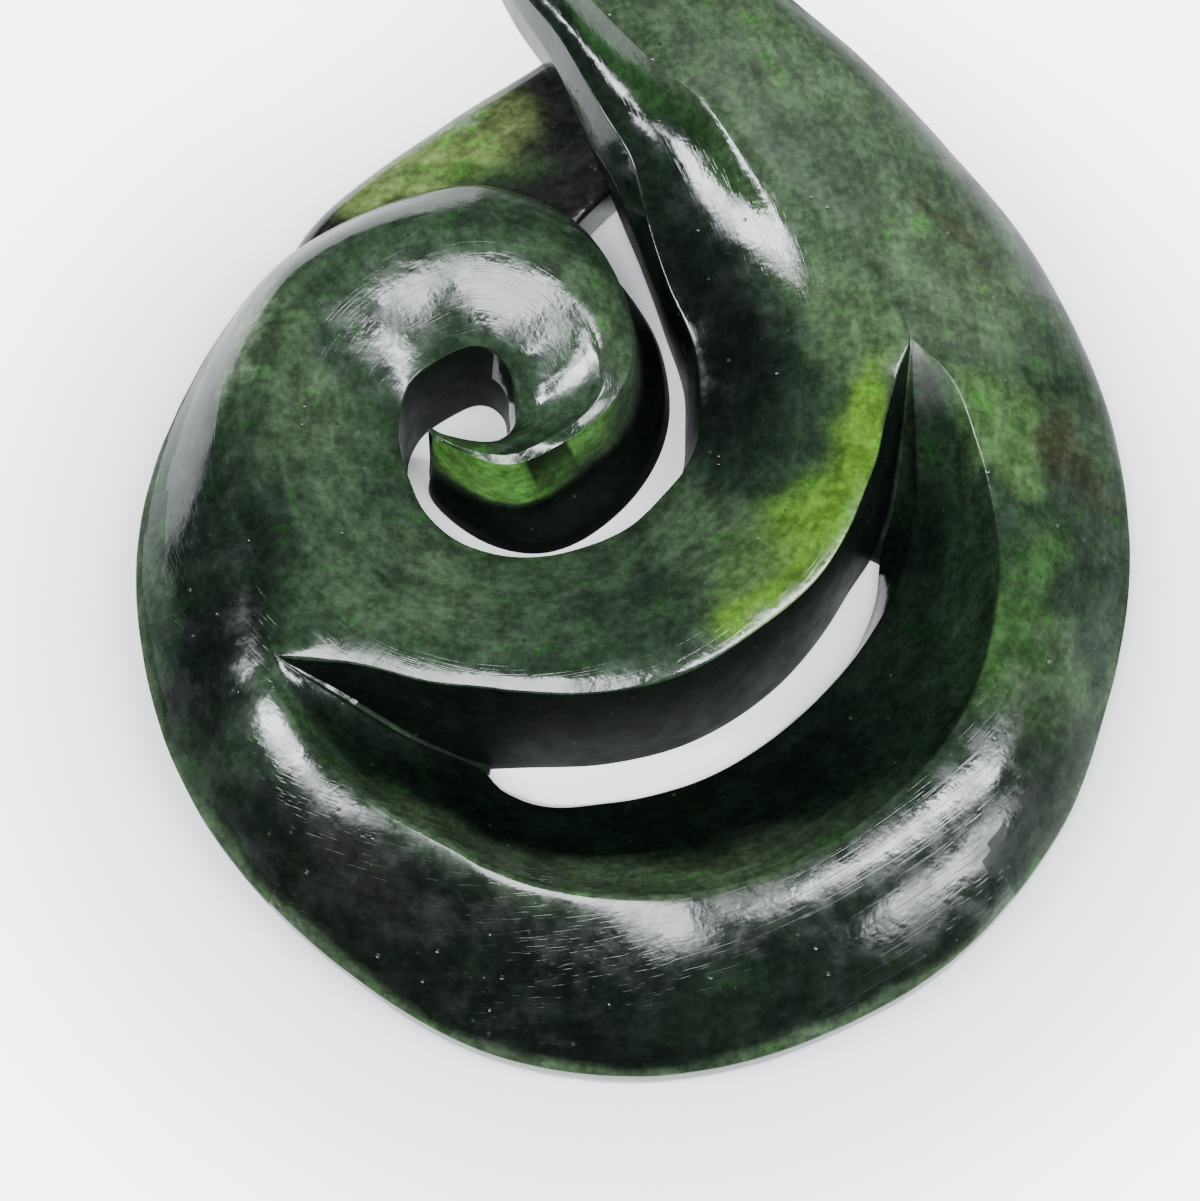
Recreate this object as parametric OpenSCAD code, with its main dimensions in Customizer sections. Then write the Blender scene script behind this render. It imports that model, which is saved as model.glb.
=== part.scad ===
// Greenstone twist pendant, carved from one piece of stone.
// Millimetres. The pendant lies on its back: +Z points up out of the carved face,
// +Y points from the disc to the loop that takes the cord.

/* [Overall] */
// Width of the carved disc, measured across the two sides of its rim
disc_w = 42.4; // [38:0.1:48]
// Height of the tallest ridge, on the front strand
tallest = 8.4; // [7:0.1:10]

/* [Cord eye] */
// Radius of the round eye drilled for the cord
eye_r = 2.6; // [2.3:0.1:3]

/* [Crescent cut] */
// Height of the small upright lip below the long scoop, where it is tallest
lip_h = 1.2; // [0.8:0.1:1.6]
// How far the scoop is dished below a straight slope
scoop_dish = 0.5; // [0:0.1:0.9]
// Station where the cut breaks through on the left, and where it ends on the right
through_from = 17.6; // [17.4:0.1:18]
through_to = 22.9; // [22.6:0.1:23.2]

/* [Hidden] */

// Cross sections made for each step of the section tables
steps = 3;
stone_colour = [0.09, 0.2, 0.12];
// Place of the cord eye as drawn
eye_at = [3.45, 35.4];
// How far the drill runs past the stone on each side
drill_past = 2;
// Thickness of the stone left at the groove where the cut breaks through
break_h = 0.5;
// Fall of the bevel above the cut to its upper edge, and the groove's depth from which on it is
// whole
bevel_h = 0.3;
bevel_depth = 1.5;
// Depth of the groove from which on the scoop has its full dish
dish_depth = 4;
// Shares of the inner slope at which a section has a point
slope_shares = [0.33, 0.67];
// Shares of the way from the crest of the outer band to its edge
band_shares = [0.3, 0.55, 0.75, 0.9];
// Middle of the outer wall, as [share of its run, share of its height]
wall_middle = [0.3, 0.35];
// Shares across the back strand, between its two edges, and how round its crown is
back_shares = [0.12, 0.32, 0.5, 0.68, 0.88];
back_round = 2.4;

// The spiral strand, a row for each cross section from the tip of the curl, round the disc
// and up the front strand to the top of the loop.
// station, inner edge x, inner edge y, outer edge x, outer edge y
EDGE_ROWS = [
    [ 0,  -8.7,  7.4,  -8.8,    7.2],
    [ 1,  -8.0, 6.95, -8.15,   6.55],
    [ 2,  -6.4,  6.7,  -5.5,    5.4],
    [ 3,  -5.6,  7.2,  -3.2,    6.3],
    [ 4,  -5.1,  8.1,  -1.1,    8.1],
    [ 5,  -5.1,  9.0,  -0.1,   10.5],
    [ 6,  -5.3, 10.0,  -0.5,   13.6],
    [ 7,  -6.0, 10.8,  -2.6,   16.9],
    [ 8,  -7.0, 11.0,  -6.7,   18.8],
    [ 9,  -8.3, 10.4, -11.1,   18.3],
    [10,  -9.4,  9.5, -14.6,   16.7],
    [11,  -9.8,  8.6, -17.0,   14.5],
    [12, -10.0,  7.4, -19.1,  11.05],
    [13,  -9.9,  6.1, -20.8,    6.2],
    [14,  -9.6,  5.1, -21.2,    1.1],
    [15,  -8.9,  3.6, -20.2,  -4.65],
    [16, -7.55,  2.3, -17.4,  -10.3],
    [17,  -5.7, 1.65, -12.6,  -15.4],
    [18,  -3.8,  1.6, -6.35,  -19.3],
    [19, -1.95,  2.1,   0.2,  -20.4],
    [20, -0.25, 2.95,   6.7, -19.05],
    [21,  1.15,  4.3, 13.15,  -15.4],
    [22,   2.2,  5.6, 17.95,   -9.4],
    [23,   2.7,  7.1,  20.6,   -1.7],
    [24,   2.7,  8.9,  21.2,    4.3],
    [25,   2.4, 11.1,  20.2,  10.55],
    [26,   1.4, 13.6,  17.5,   16.6],
    [27,   0.6, 16.2,  13.8,   21.2],
    [28,  -0.1, 19.2,  10.3,  24.65],
    [29,  -1.3, 21.3,  6.55,   27.9],
    [30,  -3.2, 24.9,   4.3,   31.2],
    [31,  -5.2, 28.0,   2.9,   32.9],
    [32,  -6.6, 31.3,   2.2,   34.2],
    [33,  -6.8, 34.8,   1.9,   35.4],
    [34,  -5.4, 38.4,   2.2,   36.5],
    [35,  -1.8, 41.6,   2.8,   37.1],
    [36,   3.2, 43.0,   3.5,   37.2]];

// Heights across the spiral strand, a row for each stretch where they change.
// station, underside, inner wall run, knee run, knee height, inner edge height,
// length over which that edge rolls over, dish of the inner slope, ridge distance from the
// inner edge, ridge height, roundness of the outer slope, outer edge height, outer wall run
CROWN_ROWS = [
    [ 0.0, 0.0,  0.3, 0.15, 2.2, 4.4, 0.05,  0.0, 0.08,  4.5, 1.0,  4.4,  0.2],
    [ 1.0, 0.0,  0.4,  0.2, 2.2, 4.6, 0.05,  0.0,  0.3, 4.75, 1.0, 4.65,  1.1],
    [ 1.5, 0.0,  0.4,  0.2, 2.2, 4.6, 0.15,  0.0,  0.7, 4.95, 1.0, 4.85,  2.2],
    [ 2.0, 0.0, 0.45, 0.25, 2.2, 4.6,  0.3, 0.05,  1.1,  5.1, 1.0,  5.0,  2.5],
    [ 3.0, 0.0,  0.4, 0.25, 1.9, 4.2,  0.9, 0.15,  2.0,  5.2, 1.0,  5.0,  2.8],
    [ 4.0, 0.0,  0.4,  0.3, 1.7, 3.9,  1.4, 0.25,  3.4,  5.4, 1.0,  5.0,  2.3],
    [ 5.0, 0.0, 0.45,  0.3, 1.8, 4.1,  1.2,  0.2,  3.9,  5.8, 1.1,  5.0, 1.75],
    [ 6.0, 0.0,  0.5,  0.3, 2.1, 4.6,  0.6, -0.1,  4.2,  6.4, 1.2,  5.0,  1.4],
    [ 8.0, 0.0,  0.7, 0.35, 2.3, 4.9,  0.1, -0.3,  4.6,  6.8, 1.3,  4.6,  0.5],
    [10.0, 0.0,  0.6,  0.3, 2.3, 4.8,  0.1, -0.2,  5.7,  6.6, 1.7,  2.2, -0.3],
    [12.0, 0.0,  0.2,  0.1, 2.2, 4.6,  0.2,  0.0,  6.0,  6.4, 2.0,  1.5, -0.8],
    [14.0, 0.0,  0.4,  0.2, 2.1, 4.4,  0.2,  0.0,  5.0,  6.2, 1.7,  2.0, -0.6],
    [17.0, 0.0,  0.7, 0.35, 2.1, 4.2,  0.2,  0.0,  5.2,  6.2, 2.2,  1.5, -0.3],
    [20.0, 0.0,  0.7, 0.35, 2.1, 4.2,  0.2,  0.0,  5.7,  6.2, 2.2,  1.5, -0.2],
    [22.0, 0.0,  0.7, 0.35, 2.2, 4.5,  0.2,  0.0,  6.5,  6.3, 2.2,  1.5, -0.3],
    [24.0, 0.0,  0.5, 0.25, 2.5, 4.9,  0.2,  0.1,  6.4,  6.6, 2.1,  1.6, -0.6],
    [25.0, 0.0, 0.25, 0.15, 2.7, 5.2,  0.2,  0.2,  6.2,  6.9, 2.2,  1.8, -0.7],
    [26.0, 0.1,  0.0,  0.1, 3.0, 5.5,  0.1,  0.5, 5.85,  7.3, 2.5,  2.0, -0.6],
    [27.0, 1.0, 0.15, 0.35, 3.8, 5.9,  0.1,  0.8, 4.75,  7.7, 2.8,  2.5, -0.6],
    [28.0, 2.2, 0.75, 0.85, 4.7, 6.3,  0.1,  0.8,  3.6,  8.1, 3.0,  3.2, -0.6],
    [29.0, 2.7,  0.5, 0.85, 5.0, 6.6,  0.1,  0.7,  2.6,  8.4, 3.0,  3.8, -0.6],
    [30.0, 2.7,  0.3, 0.42, 4.9, 6.6,  0.1,  0.5,  1.7,  8.2, 2.8,  4.2, -0.6],
    [32.0, 2.2,  0.0,  0.0, 4.4, 5.6,  0.1,  0.0,  2.2,  7.4, 2.0,  4.6, -0.4],
    [34.0, 1.4, -0.4, -0.2, 3.4, 4.6,  0.1, -0.3,  3.2,  6.4, 2.0,  4.0, -0.4],
    [36.0, 0.8, -0.6, -0.2, 2.6, 3.6,  0.1, -0.4,  2.6,  5.4, 2.0,  3.6, -0.4]];

// How the outer slope falls from the crest of the outer band to its edge: its share of the
// roundness that the table above gives, and how much of the fall comes evenly
// station, share of the roundness, even share of the fall
BAND_ROWS = [
    [   0, 1.0,  0.3],
    [   8, 1.0,  0.3],
    [  10, 0.8,  0.3],
    [  12, 0.4,  0.6],
    [  14, 0.0,  0.9],
    [15.5, 0.0,  0.5],
    [16.5, 0.0,  0.4],
    [17.5, 0.0,  0.8],
    [18.5, 0.0,  0.9],
    [19.5, 0.0,  0.3],
    [20.5, 0.0, 0.15],
    [  22, 0.0,  0.3],
    [  24, 0.0,  0.8],
    [  25, 0.2,  0.8],
    [  26, 0.5,  0.8],
    [  28, 1.0,  0.3],
    [  36, 1.0,  0.3]];

// The crescent cut, a row for each section from its left tip to its right tip. Distances run
// from the inner edge of the strand, and the groove depth is measured down from the surface.
// station, upper edge, groove, groove depth, end of the groove's floor, lip, share of the lip's
// height, crest
CRESCENT_ROWS = [
    [ 15.5,  9.1, 9.25,  0.0,  9.3,   9.4,  0.0,  9.6],
    [ 16.0,  7.8,  8.3,  2.1, 8.45,   8.6,  0.2, 10.8],
    [ 17.0,  7.0,  8.1,  4.5,  8.3,   8.5,  0.4, 12.7],
    [ 17.5,  6.8,  8.2, 5.45,  8.4,   8.6,  0.5, 13.5],
    [17.65,  6.8, 8.22, 5.65,  8.6,  8.85,  0.6, 13.8],
    [ 17.8, 6.85, 8.15,  6.2, 9.15,  9.45,  0.6, 14.2],
    [ 18.0,  6.9,  8.1,  7.0, 9.55,   9.9,  0.6, 14.6],
    [ 19.0,  7.4,  8.4,  7.0, 10.3,  10.6,  0.6, 16.1],
    [ 20.0,  7.7, 8.65,  7.0, 10.5, 10.75,  0.6, 16.9],
    [ 21.0,  7.8,  8.7,  7.0, 10.4, 10.65,  0.6, 17.0],
    [ 22.0, 7.85,  8.3,  7.0, 10.0,  10.3,  0.8, 16.1],
    [ 22.5, 7.75,  8.2,  6.9,  9.5,  10.2,  1.0, 15.1],
    [ 23.0,  7.7,  8.5,  6.3,  8.8,  10.0,  1.0, 14.0],
    [ 23.5,  7.9,  8.7,  5.2,  8.9,   9.9,  1.0, 13.0],
    [ 24.0,  8.1,  8.8,  3.7,  9.0,   9.6,  0.8, 12.1],
    [ 24.9,  9.1, 9.25,  0.0,  9.3,   9.4,  0.0,  9.6]];

// The back strand, a row for each section from inside the top of the loop, down behind the
// front strand and into the left side of the disc.
// station, hole side x, hole side y, outer side x, outer side y, underside,
// hole side foot inset, hole side height, crown height, outer side height, outer foot inset
BACK_ROWS = [
    [ 0,    2.9,  37.6,   0.1,  41.8, 1.1, 0.4, 3.5, 5.1, 3.5, 0.6],
    [ 1,    3.7,  37.4,   4.4,  42.7, 0.9, 0.4, 3.6, 5.3, 3.6, 0.6],
    [ 2,    4.5,  36.9,   7.9,  41.7, 0.6, 0.4, 3.5, 5.2, 3.5, 0.6],
    [ 3,    5.0,  36.1,  10.6,  38.6, 0.4, 0.4, 3.2, 5.0, 3.2, 0.6],
    [ 4,    5.0,  35.0,  11.3,  34.8, 0.2, 0.4, 2.8, 4.6, 2.8, 0.6],
    [ 5,    4.3,  33.9,   9.8,  32.2, 0.1, 0.4, 2.4, 4.0, 2.4, 0.6],
    [ 6,    2.2,  31.9,   5.9,  29.2, 0.1, 0.3, 1.9, 3.5, 2.0, 0.5],
    [ 7,   -1.0,  28.8,   4.1,  25.0, 0.1, 0.2, 1.5, 3.2, 1.9, 0.4],
    [ 8,   -4.2, 26.25,   1.5,  21.8, 0.1, 0.2, 1.3, 3.1, 2.1, 0.2],
    [ 9,   -7.6,  23.9,  -1.4, 19.15, 0.1, 0.2, 1.2, 3.0, 2.4, 0.0],
    [10, -11.25,  21.2,  -4.5,  15.6, 0.1, 0.2, 1.2, 3.0, 2.4, 0.0],
    [11, -14.15,  18.4,  -8.0,  12.6, 0.1, 0.2, 1.2, 2.9, 2.2, 0.0],
    [12,  -15.6,  15.6, -11.0,  11.0, 0.1, 0.2, 1.2, 2.6, 1.8, 0.0]];

last_station = EDGE_ROWS[len(EDGE_ROWS) - 1][0];
last_back = BACK_ROWS[len(BACK_ROWS) - 1][0];
left_tip = CRESCENT_ROWS[0][0];
right_tip = CRESCENT_ROWS[len(CRESCENT_ROWS) - 1][0];

// Row of a table whose stretch holds station s
function row_at(rows, s, i = 0) =
    (i >= len(rows) - 2 || s < rows[i + 1][0]) ? i : row_at(rows, s, i + 1);

// Slope of a column at row i, shared between the stretches before and after it
function slope_at(rows, i, col) =
    let (last = len(rows) - 1)
    let (before = i > 0 ? rows[i][0] - rows[i - 1][0] : 1)
    let (after = i < last ? rows[i + 1][0] - rows[i][0] : 1)
    let (rise_before = i > 0 ? (rows[i][col] - rows[i - 1][col]) / before : 0)
    let (rise_after = i < last ? (rows[i + 1][col] - rows[i][col]) / after : 0)
    i == 0 ? rise_after
    : i == last ? rise_before
    : (rise_before * after + rise_after * before) / (before + after);

// Value of a column at station s, on a smooth curve through the rows
function value(rows, col, s) =
    let (i = row_at(rows, s))
    let (span = rows[i + 1][0] - rows[i][0])
    let (u = min(max((s - rows[i][0]) / span, 0), 1))
    let (m0 = slope_at(rows, i, col) * span)
    let (m1 = slope_at(rows, i + 1, col) * span)
    (2 * u ^ 3 - 3 * u ^ 2 + 1) * rows[i][col] + (u ^ 3 - 2 * u ^ 2 + u) * m0
    + (3 * u ^ 2 - 2 * u ^ 3) * rows[i + 1][col] + (u ^ 3 - u ^ 2) * m1;

function inner_edge(s) = [value(EDGE_ROWS, 1, s), value(EDGE_ROWS, 2, s)];
function outer_edge(s) = [value(EDGE_ROWS, 3, s), value(EDGE_ROWS, 4, s)];
function strand_w(s) = norm(outer_edge(s) - inner_edge(s));

// Height at share t of a slope that leaves one level flat and rounds over to a lower one
function rounded(top, low, power, t) =
    low + (top - low) * (1 - min(max(t, 0), 1) ^ power) ^ (1 / power);

// Share of the outer slope at which a rail of the crescent lies. Past the tips of the
// crescent the rails run on together without a depth.
function rail_share(s, col) =
    let (c = min(max(s, left_tip), right_tip))
    let (ridge_w = value(CROWN_ROWS, 8, c))
    (value(CRESCENT_ROWS, col, c) - ridge_w) / (strand_w(c) - ridge_w);

// Height of the outer band at share t of the way from its crest to its edge
function band_z(s, crest_z, rim, full, t) =
    let (lean = value(BAND_ROWS, 2, s))
    let (spare = crest_z - (crest_z - rim) * (lean * t + (1 - lean) * t ^ 2))
    spare + (full - spare) * value(BAND_ROWS, 1, s);

// Points across the spiral strand at station s, as [distance from the inner edge, height].
// They run over the top from the inner foot to the outer foot, and back along the underside.
function strand_section(s) =
    let (w = strand_w(s))
    let (under = max(value(CROWN_ROWS, 1, s), 0), run = value(CROWN_ROWS, 2, s))
    let (knee_run = value(CROWN_ROWS, 3, s), knee = value(CROWN_ROWS, 4, s))
    let (edge = value(CROWN_ROWS, 5, s), roll = max(value(CROWN_ROWS, 6, s), 0.01))
    let (dish = value(CROWN_ROWS, 7, s))
    let (ridge_w = value(CROWN_ROWS, 8, s), ridge = value(CROWN_ROWS, 9, s))
    let (power = value(CROWN_ROWS, 10, s))
    let (rim = value(CROWN_ROWS, 11, s), rim_run = value(CROWN_ROWS, 12, s))
    let (slope_w = w - ridge_w)
    let (cut = s > left_tip && s < right_tip)
    let (depth = cut ? value(CRESCENT_ROWS, 3, s) : 0)
    let (lip_up = cut ? lip_h * value(CRESCENT_ROWS, 6, s) : 0)
    let (bevel = bevel_h * min(depth / bevel_depth, 1))
    let (upper = rail_share(s, 1), groove = rail_share(s, 2), floor_end = rail_share(s, 4))
    let (lip = rail_share(s, 5), crest = rail_share(s, 7), mid = (lip + crest) / 2)
    let (crest_z = rounded(ridge, rim, power, crest))
    let (groove_z = max(rounded(ridge, rim, power, groove) - depth, break_h))
    let (floor_z = min(groove_z, rounded(ridge, rim, power, floor_end)))
    let (lip_z = min(groove_z + lip_up, rounded(ridge, rim, power, lip)))
    let (mid_z = rounded(ridge, rim, power, mid))
    let (scoop_z = min((lip_z + crest_z) / 2 - scoop_dish * min(depth / dish_depth, 1), mid_z))
    concat(
        [[-run, under], [-knee_run, knee]],
        [for (t = concat([0], slope_shares))
            [ridge_w * t, edge + (ridge - edge) * t - 4 * dish * t * (1 - t)
                          - roll / 2 * max(1 - ridge_w * t / roll, 0) ^ 2]],
        [[ridge_w, ridge],
         [ridge_w + slope_w * upper / 2, rounded(ridge, rim, power, upper / 2) - bevel / 4],
         [ridge_w + slope_w * upper, rounded(ridge, rim, power, upper) - bevel],
         [ridge_w + slope_w * groove, groove_z],
         [ridge_w + slope_w * floor_end, floor_z],
         [ridge_w + slope_w * lip, lip_z],
         [ridge_w + slope_w * mid, cut ? scoop_z : mid_z],
         [ridge_w + slope_w * crest, crest_z]],
        [for (t = band_shares)
            let (share = crest + (1 - crest) * t)
            [ridge_w + slope_w * share,
             band_z(s, crest_z, rim, rounded(ridge, rim, power, share), t)]],
        [[w, rim],
         [w + rim_run * wall_middle[0], under + (rim - under) * wall_middle[1]],
         [w + rim_run, under],
         [ridge_w + slope_w * floor_end, under], [ridge_w + slope_w * groove, under]]);

// Numbers of the points that the groove and its floor have in a section, and of those below
groove_k = 8;
floor_k = 9;
floor_below_k = 20;
groove_below_k = 21;

// Points across the back strand at station s, as [distance from the hole side, height]
function back_section(s) =
    let (w = norm([value(BACK_ROWS, 3, s), value(BACK_ROWS, 4, s)]
                  - [value(BACK_ROWS, 1, s), value(BACK_ROWS, 2, s)]))
    let (under = value(BACK_ROWS, 5, s))
    let (hole_in = value(BACK_ROWS, 6, s), hole_z = value(BACK_ROWS, 7, s))
    let (crown = value(BACK_ROWS, 8, s))
    let (out_z = value(BACK_ROWS, 9, s), out_in = value(BACK_ROWS, 10, s))
    concat(
        [[hole_in, under], [0, hole_z]],
        [for (t = back_shares)
            [w * t, rounded(crown, t < 0.5 ? hole_z : out_z, back_round, abs(2 * t - 1))]],
        [[w, out_z], [w - out_in, under]]);

// Turns points across a section into points in space, from one edge towards the other
function placed(points, from, to) =
    let (across = (to - from) / norm(to - from))
    [for (p = points) [from[0] + across[0] * p[0], from[1] + across[1] * p[0], p[1]]];

function strand_ring(s) = placed(strand_section(s), inner_edge(s), outer_edge(s));
function back_ring(s) =
    placed(back_section(s), [value(BACK_ROWS, 1, s), value(BACK_ROWS, 2, s)],
           [value(BACK_ROWS, 3, s), value(BACK_ROWS, 4, s)]);

// The two faces between points a and b of ring r and the same points of the next ring
function strip(n, r, a, b) =
    [[r * n + a, (r + 1) * n + a, r * n + b],
     [r * n + b, (r + 1) * n + a, (r + 1) * n + b]];

// Closed solid through a list of rings that all have the same number of points. Between two
// rings that are both marked open, the points listed in slot stay a gap cut through the solid:
// groove, end of the floor, and the points below them.
module swept(rings, open = [], slot = [0, 0, 0, 0]) {
    n = len(rings[0]);
    last = len(rings) - 1;
    points = [for (ring = rings) for (p = ring) p];
    gap = [for (r = [0:last - 1]) len(open) > 0 && open[r] && open[r + 1]];
    sides = [for (r = [0:last - 1]) for (k = [0:n - 1])
        if (!gap[r] || (k != slot[0] && k != slot[2]))
            for (face = strip(n, r, k, (k + 1) % n)) face];
    walls = [for (r = [0:last - 1]) if (gap[r])
        for (face = concat(strip(n, r, slot[0], slot[3]), strip(n, r, slot[2], slot[1]))) face];
    gap_ends = [for (r = [1:last - 1]) if (gap[r] != gap[r - 1])
        [for (i = gap[r] ? [3, 2, 1, 0] : [0, 1, 2, 3]) r * n + slot[i]]];
    first_cap = [for (k = [0:n - 1]) k];
    last_cap = [for (k = [n - 1:-1:0]) last * n + k];
    polyhedron(points, concat([first_cap], sides, walls, gap_ends, [last_cap]), convexity = 10);
}

strand_stations = [for (s = [0:1 / steps:last_station + 0.01]) s];
strand_rings = [for (s = strand_stations) strand_ring(s)];
// The back strand's sections run from its last row to its first, so that its faces look outwards
back_rings = [for (s = [last_back:-1 / steps:-0.01]) back_ring(s)];

// Box of the two strands as drawn, and what brings its middle to the origin and its width to
// disc_w
all_points = [for (ring = concat(strand_rings, back_rings)) for (p = ring) p];
low = [for (axis = [0:2]) min([for (p = all_points) p[axis]])];
high = [for (axis = [0:2]) max([for (p = all_points) p[axis]])];
middle = [(low[0] + high[0]) / 2, (low[1] + high[1]) / 2];
plan_scale = disc_w / (high[0] - low[0]);

module spiral_strand() {
    swept(strand_rings,
          [for (s = strand_stations) s > through_from && s < through_to],
          [groove_k, floor_k, floor_below_k, groove_below_k]);
}

module back_strand() {
    swept(back_rings);
}

module cord_eye() {
    centre = (eye_at - middle) * plan_scale;
    translate([centre[0], centre[1], -drill_past])
        cylinder(h = tallest + 2 * drill_past, r = eye_r, $fn = 64);
}

module carved_stone() {
    color(stone_colour)
    difference() {
        resize([disc_w, 0, tallest], auto = [false, true, false])
            translate([-middle[0], -middle[1], -low[2]])
                union() {
                    spiral_strand();
                    back_strand();
                }
        cord_eye();
    }
}

carved_stone();
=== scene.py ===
"""The looks of the greenstone twist pendant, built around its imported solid.

The stone is shaped in millimetres in the drawing's frame, where the middle of the disc is the
origin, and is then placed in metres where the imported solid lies.
"""

from __future__ import annotations

import logging
import math
from dataclasses import dataclass, field
from enum import Enum, IntEnum

import bpy
import numpy as np
from mathutils import Matrix, Vector, noise
from mathutils.kdtree import KDTree

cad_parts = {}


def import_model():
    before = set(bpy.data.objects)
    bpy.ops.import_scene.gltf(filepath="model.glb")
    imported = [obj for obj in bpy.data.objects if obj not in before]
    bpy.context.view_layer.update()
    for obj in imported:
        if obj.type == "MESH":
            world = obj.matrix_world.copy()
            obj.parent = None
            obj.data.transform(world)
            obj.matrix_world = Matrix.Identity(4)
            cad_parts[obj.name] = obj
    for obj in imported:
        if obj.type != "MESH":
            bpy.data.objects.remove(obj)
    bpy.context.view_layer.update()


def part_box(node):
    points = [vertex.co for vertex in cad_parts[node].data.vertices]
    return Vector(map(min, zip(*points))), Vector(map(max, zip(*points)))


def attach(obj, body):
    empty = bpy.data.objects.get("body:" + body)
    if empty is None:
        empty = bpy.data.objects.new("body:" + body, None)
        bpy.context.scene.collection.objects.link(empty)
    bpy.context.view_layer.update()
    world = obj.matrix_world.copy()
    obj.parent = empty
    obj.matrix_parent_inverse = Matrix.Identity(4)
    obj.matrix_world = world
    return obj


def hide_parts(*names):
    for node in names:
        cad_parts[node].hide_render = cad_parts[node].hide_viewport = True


LOG = logging.getLogger("pendant")
MM = 0.001
TINY = 1e-9
Array = np.ndarray


@dataclass(frozen=True)
class SectionTable:
    """A table with a row for each section, read as smooth curves along a strand.

    Attributes:
        columns: Name of each column. The first one is the station.
        rows: The values, a tuple for each row.
    """

    columns: tuple[str, ...]
    rows: tuple[tuple[float, ...], ...]

    def first(self) -> float:
        """Station of the first row."""
        return self.rows[0][0]

    def last(self) -> float:
        """Station of the last row."""
        return self.rows[-1][0]

    def at(self, column: str, stations: Array) -> Array:
        """Reads a column along the strand, on the cubic curve through its rows.

        Args:
            column: Name of the column.
            stations: Stations to read it at. Past the ends of the table the end rows hold.

        Returns:
            A value for each station.
        """
        data = np.array(self.rows, float)
        x = data[:, 0]
        y = data[:, self.columns.index(column)]
        step = np.diff(x)
        rise = np.diff(y) / step
        shared = (rise[:-1] * step[1:] + rise[1:] * step[:-1]) / (step[:-1] + step[1:])
        slope = np.concatenate(([rise[0]], shared, [rise[-1]]))
        i = np.clip(np.searchsorted(x, stations, side="right") - 1, 0, len(x) - 2)
        u = np.clip((stations - x[i]) / step[i], 0.0, 1.0)
        return (
            (2 * u**3 - 3 * u**2 + 1) * y[i]
            + (u**3 - 2 * u**2 + u) * slope[i] * step[i]
            + (3 * u**2 - 2 * u**3) * y[i + 1]
            + (u**3 - u**2) * slope[i + 1] * step[i]
        )


EDGES = SectionTable(
    ("station", "inner_x", "inner_y", "outer_x", "outer_y"),
    (
        (0, -8.7, 7.4, -8.8, 7.2),
        (1, -8.0, 6.95, -8.15, 6.55),
        (2, -6.4, 6.7, -5.5, 5.4),
        (3, -5.6, 7.2, -3.2, 6.3),
        (4, -5.1, 8.1, -1.1, 8.1),
        (5, -5.1, 9.0, -0.1, 10.5),
        (6, -5.3, 10.0, -0.5, 13.6),
        (7, -6.0, 10.8, -2.6, 16.9),
        (8, -7.0, 11.0, -6.7, 18.8),
        (9, -8.3, 10.4, -11.1, 18.3),
        (10, -9.4, 9.5, -14.6, 16.7),
        (11, -9.8, 8.6, -17.0, 14.5),
        (12, -10.0, 7.4, -19.1, 11.05),
        (13, -9.9, 6.1, -20.8, 6.2),
        (14, -9.6, 5.1, -21.2, 1.1),
        (15, -8.9, 3.6, -20.2, -4.65),
        (16, -7.55, 2.3, -17.4, -10.3),
        (17, -5.7, 1.65, -12.6, -15.4),
        (18, -3.8, 1.6, -6.35, -19.3),
        (19, -1.95, 2.1, 0.2, -20.4),
        (20, -0.25, 2.95, 6.7, -19.05),
        (21, 1.15, 4.3, 13.15, -15.4),
        (22, 2.2, 5.6, 17.95, -9.4),
        (23, 2.7, 7.1, 20.6, -1.7),
        (24, 2.7, 8.9, 21.2, 4.3),
        (25, 2.4, 11.1, 20.2, 10.55),
        (26, 1.4, 13.6, 17.5, 16.6),
        (27, 0.6, 16.2, 13.8, 21.2),
        (28, -0.1, 19.2, 10.3, 24.65),
        (29, -1.3, 21.3, 6.55, 27.9),
        (30, -3.2, 24.9, 4.3, 31.2),
        (31, -5.2, 28.0, 2.9, 32.9),
        (32, -6.6, 31.3, 2.2, 34.2),
        (33, -6.8, 34.8, 1.9, 35.4),
        (34, -5.4, 38.4, 2.2, 36.5),
        (35, -1.8, 41.6, 2.8, 37.1),
        (36, 3.2, 43.0, 3.5, 37.2),
    ),
)

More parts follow.
